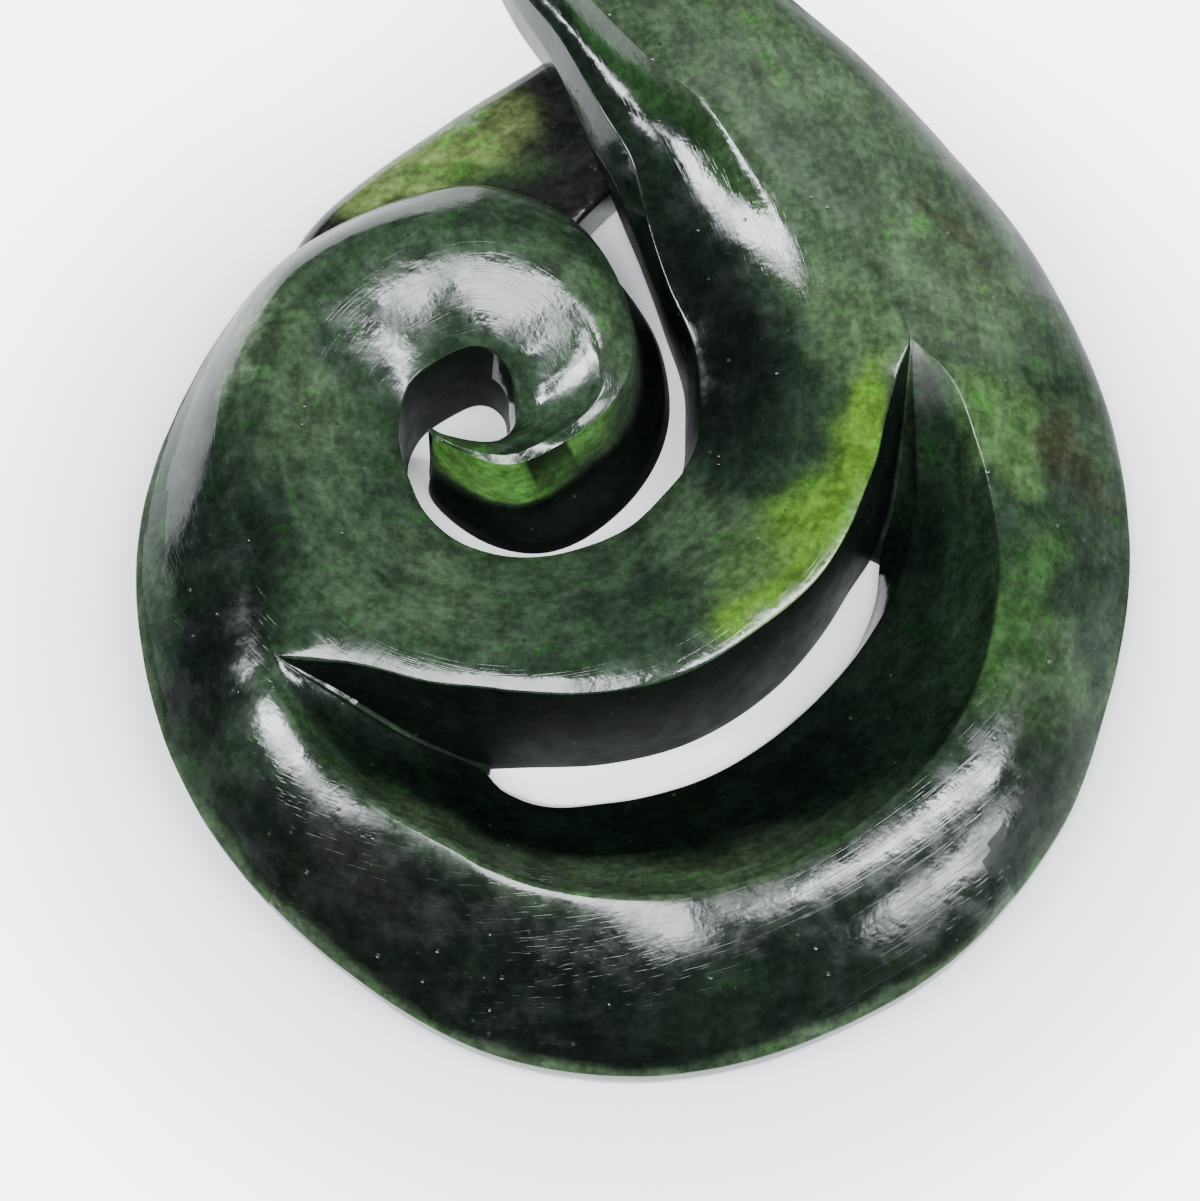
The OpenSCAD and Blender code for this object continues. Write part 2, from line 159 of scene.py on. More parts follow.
CROWN = SectionTable(
    ("station", "under", "wall_run", "knee_run", "knee", "edge", "roll", "dish", "ridge_at",
     "ridge", "power", "rim", "rim_run"),
    (
        (0, 0.0, 0.3, 0.15, 2.2, 4.4, 0.05, 0.0, 0.08, 4.5, 1.0, 4.4, 0.2),
        (1, 0.0, 0.4, 0.2, 2.2, 4.6, 0.05, 0.0, 0.3, 4.75, 1.0, 4.65, 1.1),
        (1.5, 0.0, 0.4, 0.2, 2.2, 4.6, 0.15, 0.0, 0.7, 4.95, 1.0, 4.85, 2.2),
        (2, 0.0, 0.45, 0.25, 2.2, 4.6, 0.3, 0.05, 1.1, 5.1, 1.0, 5.0, 2.5),
        (3, 0.0, 0.4, 0.25, 1.9, 4.2, 0.9, 0.15, 2.0, 5.2, 1.0, 5.0, 2.8),
        (4, 0.0, 0.4, 0.3, 1.7, 3.9, 1.4, 0.25, 3.4, 5.4, 1.0, 5.0, 2.3),
        (5, 0.0, 0.45, 0.3, 1.8, 4.1, 1.2, 0.2, 3.9, 5.8, 1.1, 5.0, 1.75),
        (6, 0.0, 0.5, 0.3, 2.1, 4.6, 0.6, -0.1, 4.2, 6.4, 1.2, 5.0, 1.4),
        (8, 0.0, 0.7, 0.35, 2.3, 4.9, 0.1, -0.3, 4.6, 6.8, 1.3, 4.6, 0.5),
        (10, 0.0, 0.6, 0.3, 2.3, 4.8, 0.1, -0.2, 5.7, 6.6, 1.7, 2.2, -0.3),
        (12, 0.0, 0.2, 0.1, 2.2, 4.6, 0.2, 0.0, 6.0, 6.4, 2.0, 1.5, -0.8),
        (14, 0.0, 0.4, 0.2, 2.1, 4.4, 0.2, 0.0, 5.0, 6.2, 1.7, 2.0, -0.6),
        (17, 0.0, 0.7, 0.35, 2.1, 4.2, 0.2, 0.0, 5.2, 6.2, 2.2, 1.5, -0.3),
        (20, 0.0, 0.7, 0.35, 2.1, 4.2, 0.2, 0.0, 5.7, 6.2, 2.2, 1.5, -0.2),
        (22, 0.0, 0.7, 0.35, 2.2, 4.5, 0.2, 0.0, 6.5, 6.3, 2.2, 1.5, -0.3),
        (24, 0.0, 0.5, 0.25, 2.5, 4.9, 0.2, 0.1, 6.4, 6.6, 2.1, 1.6, -0.6),
        (25, 0.0, 0.25, 0.15, 2.7, 5.2, 0.2, 0.2, 6.2, 6.9, 2.2, 1.8, -0.7),
        (26, 0.1, 0.0, 0.1, 3.0, 5.5, 0.1, 0.5, 5.85, 7.3, 2.5, 2.0, -0.6),
        (27, 1.0, 0.15, 0.35, 3.8, 5.9, 0.1, 0.8, 4.75, 7.7, 2.8, 2.5, -0.6),
        (28, 2.2, 0.75, 0.85, 4.7, 6.3, 0.1, 0.8, 3.6, 8.1, 3.0, 3.2, -0.6),
        (29, 2.7, 0.5, 0.85, 5.0, 6.6, 0.1, 0.7, 2.6, 8.4, 3.0, 3.8, -0.6),
        (30, 2.7, 0.3, 0.42, 4.9, 6.6, 0.1, 0.5, 1.7, 8.2, 2.8, 4.2, -0.6),
        (32, 2.2, 0.0, 0.0, 4.4, 5.6, 0.1, 0.0, 2.2, 7.4, 2.0, 4.6, -0.4),
        (34, 1.4, -0.4, -0.2, 3.4, 4.6, 0.1, -0.3, 3.2, 6.4, 2.0, 4.0, -0.4),
        (36, 0.8, -0.6, -0.2, 2.6, 3.6, 0.1, -0.4, 2.6, 5.4, 2.0, 3.6, -0.4),
    ),
)

BAND = SectionTable(
    ("station", "bow", "lean"),
    (
        (0, 1.0, 0.3),
        (8, 1.0, 0.3),
        (10, 0.6, 0.4),
        (12, 0.1, 0.9),
        (14, 0.0, 0.9),
        (15.5, 0.0, 0.5),
        (16.5, 0.0, 0.4),
        (17.5, 0.0, 0.8),
        (18.5, 0.0, 0.9),
        (19.5, 0.0, 0.3),
        (20.5, 0.0, 0.15),
        (22, 0.0, 0.3),
        (24, 0.0, 0.8),
        (25, 0.2, 0.8),
        (26, 0.5, 0.8),
        (28, 1.0, 0.3),
        (36, 1.0, 0.3),
    ),
)

CRESCENT = SectionTable(
    ("station", "upper", "groove", "depth", "floor", "lip", "lip_up", "crest"),
    (
        (15.5, 9.2, 9.25, 0.0, 9.27, 9.3, 0.0, 9.36),
        (15.6, 8.9, 9.1, 0.25, 9.14, 9.2, 0.02, 9.85),
        (16.0, 7.8, 8.3, 2.1, 8.45, 8.6, 0.2, 10.8),
        (17.0, 7.0, 8.1, 4.5, 8.3, 8.5, 0.4, 12.7),
        (17.5, 6.8, 8.2, 5.45, 8.4, 8.6, 0.5, 13.5),
        (17.65, 6.8, 8.22, 5.65, 8.6, 8.85, 0.6, 13.8),
        (17.8, 6.85, 8.15, 6.2, 9.15, 9.45, 0.6, 14.2),
        (18.0, 6.9, 8.1, 7.0, 9.55, 9.9, 0.6, 14.6),
        (19.0, 7.4, 8.4, 7.0, 10.3, 10.6, 0.6, 16.1),
        (20.0, 7.7, 8.65, 7.0, 10.5, 10.75, 0.6, 16.9),
        (21.0, 7.8, 8.7, 7.0, 10.4, 10.65, 0.6, 17.0),
        (22.0, 7.85, 8.3, 7.0, 10.0, 10.3, 0.8, 16.1),
        (22.5, 7.75, 8.2, 6.9, 9.5, 10.2, 1.0, 15.1),
        (23.0, 7.7, 8.5, 6.3, 8.8, 10.0, 1.0, 14.0),
        (23.5, 7.9, 8.7, 5.2, 8.9, 9.9, 1.0, 13.0),
        (24.0, 8.1, 8.8, 3.7, 9.0, 9.6, 0.8, 12.1),
        (24.7, 8.8, 9.1, 0.6, 9.15, 9.25, 0.1, 10.4),
        (24.9, 9.2, 9.25, 0.0, 9.27, 9.3, 0.0, 9.36),
    ),
)

BACK = SectionTable(
    ("station", "hole_x", "hole_y", "outer_x", "outer_y", "under", "hole_in", "hole_z", "crown",
     "outer_z", "outer_in"),
    (
        (0, 2.9, 37.6, 0.1, 41.8, 1.1, 0.4, 3.5, 5.1, 3.5, 0.6),
        (1, 3.7, 37.4, 4.4, 42.7, 0.9, 0.4, 3.6, 5.3, 3.6, 0.6),
        (2, 4.5, 36.9, 7.9, 41.7, 0.6, 0.4, 3.5, 5.2, 3.5, 0.6),
        (3, 5.0, 36.1, 10.6, 38.6, 0.4, 0.4, 3.2, 5.0, 3.2, 0.6),
        (4, 5.0, 35.0, 11.3, 34.8, 0.2, 0.4, 2.8, 4.6, 2.8, 0.6),
        (5, 4.3, 33.9, 9.8, 32.2, 0.1, 0.4, 2.4, 4.0, 2.4, 0.6),
        (6, 2.2, 31.9, 5.9, 29.2, 0.1, 0.3, 1.9, 3.5, 2.0, 0.5),
        (7, -1.0, 28.8, 4.1, 25.0, 0.1, 0.2, 1.5, 3.2, 1.9, 0.4),
        (8, -4.2, 26.25, 1.5, 21.8, 0.1, 0.2, 1.3, 3.1, 2.1, 0.2),
        (9, -7.6, 23.9, -1.4, 19.15, 0.1, 0.2, 1.2, 3.0, 2.4, 0.0),
        (10, -11.25, 21.2, -4.5, 15.6, 0.1, 0.2, 1.2, 3.0, 2.4, 0.0),
        (11, -14.15, 18.4, -8.0, 12.6, 0.1, 0.2, 1.2, 2.9, 2.2, 0.0),
        (12, -15.6, 15.6, -11.0, 11.0, 0.1, 0.2, 1.2, 2.6, 1.8, 0.0),
    ),
)

SOFTNESS = SectionTable(
    ("station", "knee", "edge", "ridge", "crest"),
    (
        (0, 0.3, 0.12, 0.05, 0.1),
        (4, 0.3, 0.3, 0.08, 0.1),
        (6, 0.3, 0.2, 0.5, 0.1),
        (9, 0.3, 0.12, 1.0, 0.1),
        (14, 0.3, 0.2, 1.6, 0.1),
        (18, 0.3, 0.15, 0.8, 0.5),
        (22, 0.3, 0.15, 0.8, 0.6),
        (25, 0.3, 0.15, 1.2, 0.15),
        (27, 0.15, 0.12, 0.3, 0.1),
        (29, 0.08, 0.1, 0.1, 0.1),
        (36, 0.3, 0.3, 0.8, 0.1),
    ),
)


def linked(name: str, data: bpy.types.ID) -> bpy.types.Object:
    """Puts a mesh, a lamp or a camera into the scene.

    Args:
        name: Name of the new object.
        data: What the object shows.

    Returns:
        The object.
    """
    thing = bpy.data.objects.new(name, data)
    bpy.context.scene.collection.objects.link(thing)
    return thing


def points_of(mesh: bpy.types.Mesh) -> Array:
    """Reads the places of a mesh's points.

    Args:
        mesh: The mesh.

    Returns:
        Points by three.
    """
    places = np.empty(len(mesh.vertices) * 3)
    mesh.vertices.foreach_get("co", places)
    return places.reshape(-1, 3)


def move_points(mesh: bpy.types.Mesh, points: Array) -> None:
    """Puts the points of a mesh into new places."""
    mesh.vertices.foreach_set("co", points.ravel())
    mesh.update()


def write_vectors(mesh: bpy.types.Mesh, name: str, values: Array) -> None:
    """Writes a vector for each point of a mesh, as an attribute."""
    layer = mesh.attributes.new(name, "FLOAT_VECTOR", "POINT")
    layer.data.foreach_set("vector", values.reshape(-1).astype(np.float32))


def rounded(top: Array, low: Array, power: Array, share: Array) -> Array:
    """Height at a share of a slope that leaves one level flat and rounds over to a lower one."""
    t = np.clip(share, 0.0, 1.0)
    return low + (top - low) * (1 - t**power) ** (1 / power)


@dataclass
class Outline:
    """The points across a strand, gathered in order for every station at once.

    Attributes:
        stations: The number of stations.
        points: Distance and height of each point, an array for each of them.
        softness: Length over which each corner is rounded.
        corner_share: Largest share of a side that a rounded corner takes.
    """

    stations: int
    points: list[tuple[Array, Array]] = field(default_factory=list)
    softness: list[Array] = field(default_factory=list)
    corner_share: float = 0.45

    def add(self, distance: Array, height: Array, softness: Array | float = 0.0) -> int:
        """Adds a point after the last one.

        Args:
            distance: Distance from the strand's inner edge.
            height: Height above the surface that the pendant lies on.
            softness: Length over which the corner there is rounded.

        Returns:
            The number of the point.
        """
        whole = np.ones(self.stations)
        self.points.append((distance * whole, height * whole))
        self.softness.append(softness * whole)
        return len(self.points) - 1

    def rounded_points(self, corner_points: int) -> tuple[Array, list[int]]:
        """Rounds the corners that have a softness.

        Args:
            corner_points: The number of points that a rounded corner gets.

        Returns:
            The points as an array of stations by points by two, and the number that the first
            point of each corner now has.
        """
        corners = np.stack([np.stack(p, axis=1) for p in self.points], axis=1)
        count = corners.shape[1]
        columns: list[Array] = []
        starts: list[int] = []
        for k in range(count):
            here = corners[:, k]
            starts.append(len(columns))
            if self.softness[k].max() <= 0:
                columns.append(here)
                continue
            back = corners[:, k - 1] - here
            ahead = corners[:, (k + 1) % count] - here
            back_len = np.linalg.norm(back, axis=1)
            ahead_len = np.linalg.norm(ahead, axis=1)
            limit = self.corner_share * np.minimum(back_len, ahead_len)
            reach = np.minimum(self.softness[k], limit)
            start = here + back * (reach / np.maximum(back_len, TINY))[:, None]
            end = here + ahead * (reach / np.maximum(ahead_len, TINY))[:, None]
            for i in range(corner_points):
                t = i / (corner_points - 1)
                columns.append((1 - t) ** 2 * start + 2 * t * (1 - t) * here + t**2 * end)
        return np.stack(columns, axis=1), starts


def placed(section: Array, start: Array, end: Array) -> Array:
    """Turns points across sections into points in space.

    Args:
        section: Stations by points by two: distance from the start, and height.
        start: Where each section starts in plan, stations by two.
        end: Where each section ends in plan, stations by two.

    Returns:
        Stations by points by three.
    """
    across = end - start
    across = across / np.linalg.norm(across, axis=1)[:, None]
    plan = start[:, None, :] + across[:, None, :] * section[:, :, :1]
    return np.concatenate([plan, section[:, :, 1:]], axis=2)


@dataclass(frozen=True)
class Slot:
    """A gap cut through a swept solid.

    Attributes:
        near: Number of the point where the gap starts on top.
        far: Number of the point where it ends on top.
        far_below: Number of the point below far.
        near_below: Number of the point below near.
        open: Whether each section is open.
    """

    near: int
    far: int
    far_below: int
    near_below: int
    open: Array


def swept_faces(rings: int, count: int, slot: Slot | None) -> list[tuple[int, ...]]:
    """Faces of a closed solid through rings that all have the same number of points.

    Args:
        rings: The number of rings.
        count: The number of points in a ring.
        slot: The gap through the solid, if it has one.

    Returns:
        The faces as tuples of point numbers.
    """
    faces: list[tuple[int, ...]] = []

    def quad(r: int, a: int, b: int) -> tuple[int, ...]:
        """The face between points a and b of ring r and the same points of the next ring."""
        return (r * count + a, r * count + b, (r + 1) * count + b, (r + 1) * count + a)

    gaps = [slot is not None and bool(slot.open[r] and slot.open[r + 1]) for r in range(rings - 1)]
    for r in range(rings - 1):
        for k in range(count):
            after = (k + 1) % count
            if gaps[r] and slot.near <= k < slot.far:
                continue
            if gaps[r] and slot.far_below <= k < slot.near_below:
                continue
            faces.append(quad(r, k, after))
        if gaps[r]:
            faces.append(quad(r, slot.near, slot.near_below))
            faces.append(quad(r, slot.far_below, slot.far))
    for r in range(1, rings - 1):
        if gaps[r] == gaps[r - 1]:
            continue
        top = list(range(slot.near, slot.far + 1))
        below = list(range(slot.far_below, slot.near_below + 1))
        ring = [r * count + k for k in top + below]
        faces.append(tuple(ring if gaps[r] else reversed(ring)))
    faces.append(tuple(reversed(range(count))))
    faces.append(tuple(range((rings - 1) * count, rings * count)))
    return faces


def swept_object(name: str, rings: Array, slot: Slot | None, outwards: bool) -> bpy.types.Object:
    """Makes an object of a solid through rings.

    Args:
        name: Name of the object.
        rings: Rings by points by three, in millimetres.
        slot: The gap through the solid, if it has one.
        outwards: Whether the faces look outwards in the order in which they are made.

    Returns:
        The new object.
    """
    faces = swept_faces(rings.shape[0], rings.shape[1], slot)
    if not outwards:
        faces = [tuple(reversed(face)) for face in faces]
    mesh = bpy.data.meshes.new(name)
    mesh.from_pydata(rings.reshape(-1, 3).tolist(), [], faces)
    mesh.validate()
    mesh.update()
    return linked(name, mesh)


def marks_of(rings: Array, stations: Array, across: Array) -> tuple[Array, Array, Array]:
    """Works out where each point of a strand lies in the carving, for its finish.

    Args:
        rings: Its rings by points by three, in millimetres.
        stations: Station of each ring.
        across: Place of each point of a ring across the carving.

    Returns:
        The points, their distances along the strand, across it and up, and their station and
        place across the carving.
    """
    middle = rings.mean(axis=1)
    along = np.concatenate([[0.0], np.cumsum(np.linalg.norm(np.diff(middle, axis=0), axis=1))])
    width = np.linalg.norm(rings[:, :, :2] - rings[:, :1, :2], axis=2)
    shape = rings.shape[:2]
    grain = np.stack([np.broadcast_to(along[:, None], shape), width, rings[:, :, 2]], axis=2)
    place = np.stack([np.broadcast_to(stations[:, None], shape),
                      np.broadcast_to(across[None, :], shape), np.zeros(shape)], axis=2)
    return rings.reshape(-1, 3), grain.reshape(-1, 3), place.reshape(-1, 3)


@dataclass
class SpiralStrand:
    """The strand that curls from the head's tip round the disc and up into the loop.

    Attributes:
        edges: Its two edges in plan.
        crown: Heights across it.
        band: How its outer slope falls to the rim.
        crescent: The long cut in the disc.
        softness: How much its corners are rounded.
        steps: Sections for each step of the tables.
        lip_h: Height of the small upright lip below the scoop.
        scoop_dish: How far the scoop is dished.
        dish_from: Depth of the cut from which the scoop has its whole dish.
        break_h: Thickness left at the groove where the cut breaks through.
        bevel_h: How far the polished bevel above the cut falls to the cut's upper edge.
        bevel_from: Depth of the cut from which the bevel has its whole fall.
        through: Stations between which the crescent cut goes through.
        wall_points: Points down the outer wall: share of its run, share of its height, and the
            length over which the corner there is rounded.
        foot_soft: Length over which the two lowest corners are rounded.
        cut_soft: The same for the cut's upper edge.
        lip_soft: The same for the lip.
        rim_soft: The same for the rim.
        ridge_reads: Places where the surface is read to round the ridge.
        ridge_fall: How much less the outermost of them count.
        least_roll: Least width of the roll at the inner edge.
        crowding: How much closer the band's points lie towards the rim.
        slope_points: Points from the inner edge to the ridge.
        shoulder_points: Points from the ridge to the crescent.
        scoop_points: Points across the scoop.
        band_points: Points from the scoop's crest to the rim.
        corner_points: Points of a rounded corner.
        marked: Place across the carving of each point of a ring, once it is built.
        marks: What marks_of says of the strand, once it is built.
    """

    edges: SectionTable = EDGES
    crown: SectionTable = CROWN
    band: SectionTable = BAND
    crescent: SectionTable = CRESCENT
    softness: SectionTable = SOFTNESS
    steps: int = 12
    lip_h: float = 1.2
    scoop_dish: float = 0.5
    dish_from: float = 4.0
    break_h: float = 0.5
    bevel_h: float = 0.3
    bevel_from: float = 1.5
    through: tuple[float, float] = (17.6, 22.95)
    wall_points: tuple[tuple[float, float, float], ...] = ((0.25, 0.32, 0.5), (0.85, 0.1, 0.06))
    foot_soft: float = 0.12
    cut_soft: float = 0.25
    lip_soft: float = 0.1
    rim_soft: float = 0.3
    ridge_reads: int = 9
    ridge_fall: float = 0.8
    least_roll: float = 0.01
    crowding: float = 1.5
    slope_points: int = 14
    shoulder_points: int = 10
    scoop_points: int = 14
    band_points: int = 22
    corner_points: int = 5
    marked: Array = field(init=False, repr=False, default=None)
    marks: tuple[Array, Array, Array] = field(init=False, repr=False, default=())

    def plan(self, stations: Array, side: str) -> Array:
        """The inner or outer edge in plan, stations by two."""
        axes = [self.edges.at(side + axis, stations) for axis in ("_x", "_y")]
        return np.stack(axes, axis=1)

    def width(self, stations: Array) -> Array:
        """Width of the strand at each station."""
        return np.linalg.norm(self.plan(stations, "outer") - self.plan(stations, "inner"), axis=1)

    def rail_share(self, stations: Array, column: str) -> Array:
        """Share of the outer slope at which a rail of the crescent lies.

        Args:
            stations: The stations. Past the tips of the crescent its rails run on together.
            column: The rail's column in the crescent's table.

        Returns:
            The share, from 0 at the ridge to 1 at the outer edge.
        """
        held = np.clip(stations, self.crescent.first(), self.crescent.last())
        ridge_at = self.crown.at("ridge_at", held)
        rail = self.crescent.at(column, held)
        return (rail - ridge_at) / (self.width(held) - ridge_at)

    def surface(self, stations: Array, distance: Array) -> Array:
        """Height of the carved surface before the crescent is cut.

        Args:
            stations: The stations.
            distance: Distance from the inner edge at each station.

        Returns:
            The height, with the ridge rounded as its softness says.
        """
        edge = self.crown.at("edge", stations)
        dish = self.crown.at("dish", stations)
        at = self.crown.at("ridge_at", stations)
        ridge = self.crown.at("ridge", stations)
        power = self.crown.at("power", stations)
        rim = self.crown.at("rim", stations)
        roll = np.maximum(self.crown.at("roll", stations), self.least_roll)
        width = self.width(stations)
        bow = self.band.at("bow", stations)
        lean = self.band.at("lean", stations)
        crest = self.rail_share(stations, "crest")
        crest_z = rounded(ridge, rim, power, crest)
        soft = self.softness.at("ridge", stations)
        reach = np.minimum(soft, np.minimum(distance, width - distance))
        total = np.zeros_like(distance)
        offsets = np.linspace(-1, 1, self.ridge_reads)
        weights = 1 - offsets**2 * self.ridge_fall
        for offset, weight in zip(offsets, weights):
            d = distance + offset * reach
            t = np.clip(d / at, 0, 1)
            inner = edge + (ridge - edge) * t - 4 * dish * t * (1 - t)
            share = np.clip((d - at) / (width - at), 0, 1)
            full = rounded(ridge, rim, power, share)
            t = np.clip((share - crest) / (1 - crest), 0, 1)
            spare = crest_z - (crest_z - rim) * (lean * t + (1 - lean) * t**2)
            spare = np.where(share < crest, full, spare)
            outer = spare + (full - spare) * bow
            total += weight * np.where(d < at, inner, outer)
        rolled = 0.5 * roll * np.clip(1 - distance / roll, 0, 1) ** 2
        return total / weights.sum() - rolled

    def sections(self, stations: Array) -> tuple[Array, Slot]:
        """Makes the rings of the strand.

        Args:
            stations: The stations, in order.

        Returns:
            The rings in space, and the gap where the crescent goes through.
        """
        crown = {name: self.crown.at(name, stations) for name in self.crown.columns[1:]}
        soft = {name: self.softness.at(name, stations) for name in self.softness.columns[1:]}
        under = np.maximum(crown["under"], 0)
        width = self.width(stations)
        slope_w = width - crown["ridge_at"]
        cut = (stations > self.crescent.first()) & (stations < self.crescent.last())
        depth = np.where(cut, self.crescent.at("depth", stations), 0)
        rails = {
            name: crown["ridge_at"] + slope_w * self.rail_share(stations, name)
            for name in ("upper", "groove", "floor", "lip", "crest")
        }
        top = {name: self.surface(stations, d) for name, d in rails.items()}
        groove_z = np.maximum(top["groove"] - depth, self.break_h)
        floor_z = np.minimum(groove_z, top["floor"])
        lip_up = self.lip_h * self.crescent.at("lip_up", stations)
        lip_z = np.minimum(groove_z + np.where(cut, lip_up, 0), top["lip"])

        out = Outline(len(stations))
        marks = [out.add(-crown["wall_run"], under, self.foot_soft)]
        out.add(-crown["knee_run"], crown["knee"], soft["knee"])
        edge_z = self.surface(stations, np.zeros_like(width))
        marks.append(out.add(np.zeros_like(width), edge_z, soft["edge"]))
        for i in range(1, self.slope_points):
            d = crown["ridge_at"] * (i / self.slope_points)
            out.add(d, self.surface(stations, d))
        bevel = self.bevel_h * np.minimum(depth / self.bevel_from, 1)
        for i in range(self.shoulder_points):
            t = i / self.shoulder_points
            d = crown["ridge_at"] + (rails["upper"] - crown["ridge_at"]) * t
            number = out.add(d, self.surface(stations, d) - bevel * t**2)
            if i == 0:
                marks.append(number)
        marks.append(out.add(rails["upper"], top["upper"] - bevel, self.cut_soft))
        near = out.add(rails["groove"], groove_z)
        far = out.add(rails["floor"], floor_z)
        marks += [near, out.add(rails["lip"], lip_z, self.lip_soft)]
        for i in range(1, self.scoop_points):
            t = i / self.scoop_points
            d = rails["lip"] + (rails["crest"] - rails["lip"]) * t
            dished = lip_z + (top["crest"] - lip_z) * t
            dished -= 4 * t * (1 - t) * self.scoop_dish * np.minimum(depth / self.dish_from, 1)
            out.add(d, np.where(cut, np.minimum(dished, self.surface(stations, d)),
                                self.surface(stations, d)))
        marks.append(out.add(rails["crest"], top["crest"], soft["crest"]))
        for i in range(1, self.band_points):
            t = 1 - (1 - i / self.band_points) ** self.crowding
            d = rails["crest"] + (width - rails["crest"]) * t
            out.add(d, self.surface(stations, d))
        marks.append(out.add(width, crown["rim"], self.rim_soft))
        for run_share, height_share, corner in self.wall_points:
            out.add(width + crown["rim_run"] * run_share,
                    under + (crown["rim"] - under) * height_share, corner)
        marks.append(out.add(width + crown["rim_run"], under, self.foot_soft))
        far_below = out.add(rails["floor"], under)
        near_below = out.add(rails["groove"], under)
        points, starts = out.rounded_points(self.corner_points)
        is_open = (stations > self.through[0]) & (stations < self.through[1])
        slot = Slot(starts[near], starts[far], starts[far_below], starts[near_below], is_open)
        rings = placed(points, self.plan(stations, "inner"), self.plan(stations, "outer"))
        columns = [starts[mark] + (self.corner_points // 2 if out.softness[mark].max() > 0 else 0)
                   for mark in marks]
        self.marked = np.interp(np.arange(rings.shape[1]), columns, np.arange(len(columns)))
        return rings, slot

    def build(self) -> bpy.types.Object:
        """Makes the strand as a closed solid.

        Returns:
            The strand.
        """
        count = int(self.edges.last() * self.steps) + 1
        stations = np.linspace(0, self.edges.last(), count)
        rings, slot = self.sections(stations)
        self.marks = marks_of(rings, stations, self.marked)
        return swept_object("spiral_strand", rings, slot, outwards=True)


@dataclass
class BackStrand:
    """The lower strand, from inside the loop down behind the front strand into the disc.

    Attributes:
        table: Its edges and heights.
        steps: Sections for each step of the table.
        crown_power: How round its crown is.
        crown_points: Points across its crown.
        corner_points: Points of a rounded corner.
        foot_soft: Length over which its lower corners are rounded.
        edge_soft: The same for its upper corners.
        first_station: Station that its finish starts from, past the other strand's.
        marks: What marks_of says of the strand, once it is built.
    """

    table: SectionTable = BACK
    steps: int = 10
    crown_power: float = 2.4
    crown_points: int = 24
    corner_points: int = 4
    foot_soft: float = 0.2
    edge_soft: float = 0.25
    first_station: float = 50.0
    marks: tuple[Array, Array, Array] = field(init=False, repr=False, default=())

    def build(self) -> bpy.types.Object:
        """Makes the strand as a closed solid.

        Returns:
            The strand.
        """
        count = int(self.table.last() * self.steps) + 1
        stations = np.linspace(0, self.table.last(), count)
        column = {name: self.table.at(name, stations) for name in self.table.columns[1:]}
        start = np.stack([column["hole_x"], column["hole_y"]], axis=1)
        end = np.stack([column["outer_x"], column["outer_y"]], axis=1)
        width = np.linalg.norm(end - start, axis=1)
        out = Outline(count)
        out.add(column["hole_in"], column["under"], self.foot_soft)
        out.add(np.zeros(count), column["hole_z"], self.edge_soft)
        for i in range(1, self.crown_points):
            t = 0.5 - 0.5 * math.cos(math.pi * i / self.crown_points)
            low = column["hole_z"] if t < 0.5 else column["outer_z"]
            share = np.full(count, abs(2 * t - 1))
            height = rounded(column["crown"], low, np.full(count, self.crown_power), share)
            out.add(width * t, height)
        out.add(width, column["outer_z"], self.edge_soft)
        out.add(width - column["outer_in"], column["under"], self.foot_soft)
        points, _ = out.rounded_points(self.corner_points)
        rings = placed(points, start, end)
        across = np.linspace(0, 1, rings.shape[1])
        self.marks = marks_of(rings, stations + self.first_station, across)
        return swept_object("back_strand", rings, None, outwards=False)


@dataclass
class CordEye:
    """The round eye drilled for the cord.

    Attributes:
        centre: Its place as drawn.
        radius: Its radius.
        reach: Height that the drill passes through, from below the stone.
        sides: Sides of the drill.
    """

    centre: tuple[float, float] = (3.45, 35.4)
    radius: float = 2.6
    reach: tuple[float, float] = (-2.0, 11.0)
    sides: int = 128

    def build(self) -> bpy.types.Object:
        """Makes the drill as a closed solid.

        Returns:
            The drill.
        """
        angle = np.linspace(0, 2 * math.pi, self.sides, endpoint=False)
        x = self.centre[0] + self.radius * np.cos(angle)
        y = self.centre[1] + self.radius * np.sin(angle)
        rings = np.stack([np.stack([x, y, np.full_like(x, z)], axis=1) for z in self.reach])
        return swept_object("drill", rings, None, outwards=True)


def joined(target: bpy.types.Object, tool: bpy.types.Object, operation: str) -> None:
    """Joins a solid to another one, or cuts it out, and removes it.

    Args:
        target: The solid that changes.
        tool: The solid that is joined or cut out.
        operation: UNION or DIFFERENCE.
    """
    modifier = target.modifiers.new(operation.lower(), "BOOLEAN")
    modifier.object = tool
    modifier.operation = operation
    modifier.solver = "MANIFOLD"
    applied(target)
    bpy.data.objects.remove(tool)


def fill_marks(stone: bpy.types.Object, sources: list[tuple[Array, Array, Array]]) -> None:
    """Gives every point of the joined stone the marks of the nearest point of its strands.

    Args:
        stone: The joined stone.
        sources: For each strand its points, and their two marks.
    """
    tree = KDTree(sum(len(points) for points, _, _ in sources))
    grains = np.concatenate([grain for _, grain, _ in sources])
    places = np.concatenate([place for _, _, place in sources])
    for number, point in enumerate(np.concatenate([points for points, _, _ in sources])):
        tree.insert(point, number)
    tree.balance()
    nearest = [tree.find(vertex.co)[1] for vertex in stone.data.vertices]
    write_vectors(stone.data, "grain", grains[nearest])
    write_vectors(stone.data, "carving", places[nearest])


def applied(thing: bpy.types.Object) -> None:
    """Turns the evaluated shape into the object's own mesh and removes its modifiers.

    Args:
        thing: The object.
    """
    graph = bpy.context.evaluated_depsgraph_get()
    graph.update()
    mesh = bpy.data.meshes.new_from_object(thing.evaluated_get(graph))
    thing.modifiers.clear()
    thing.data = mesh


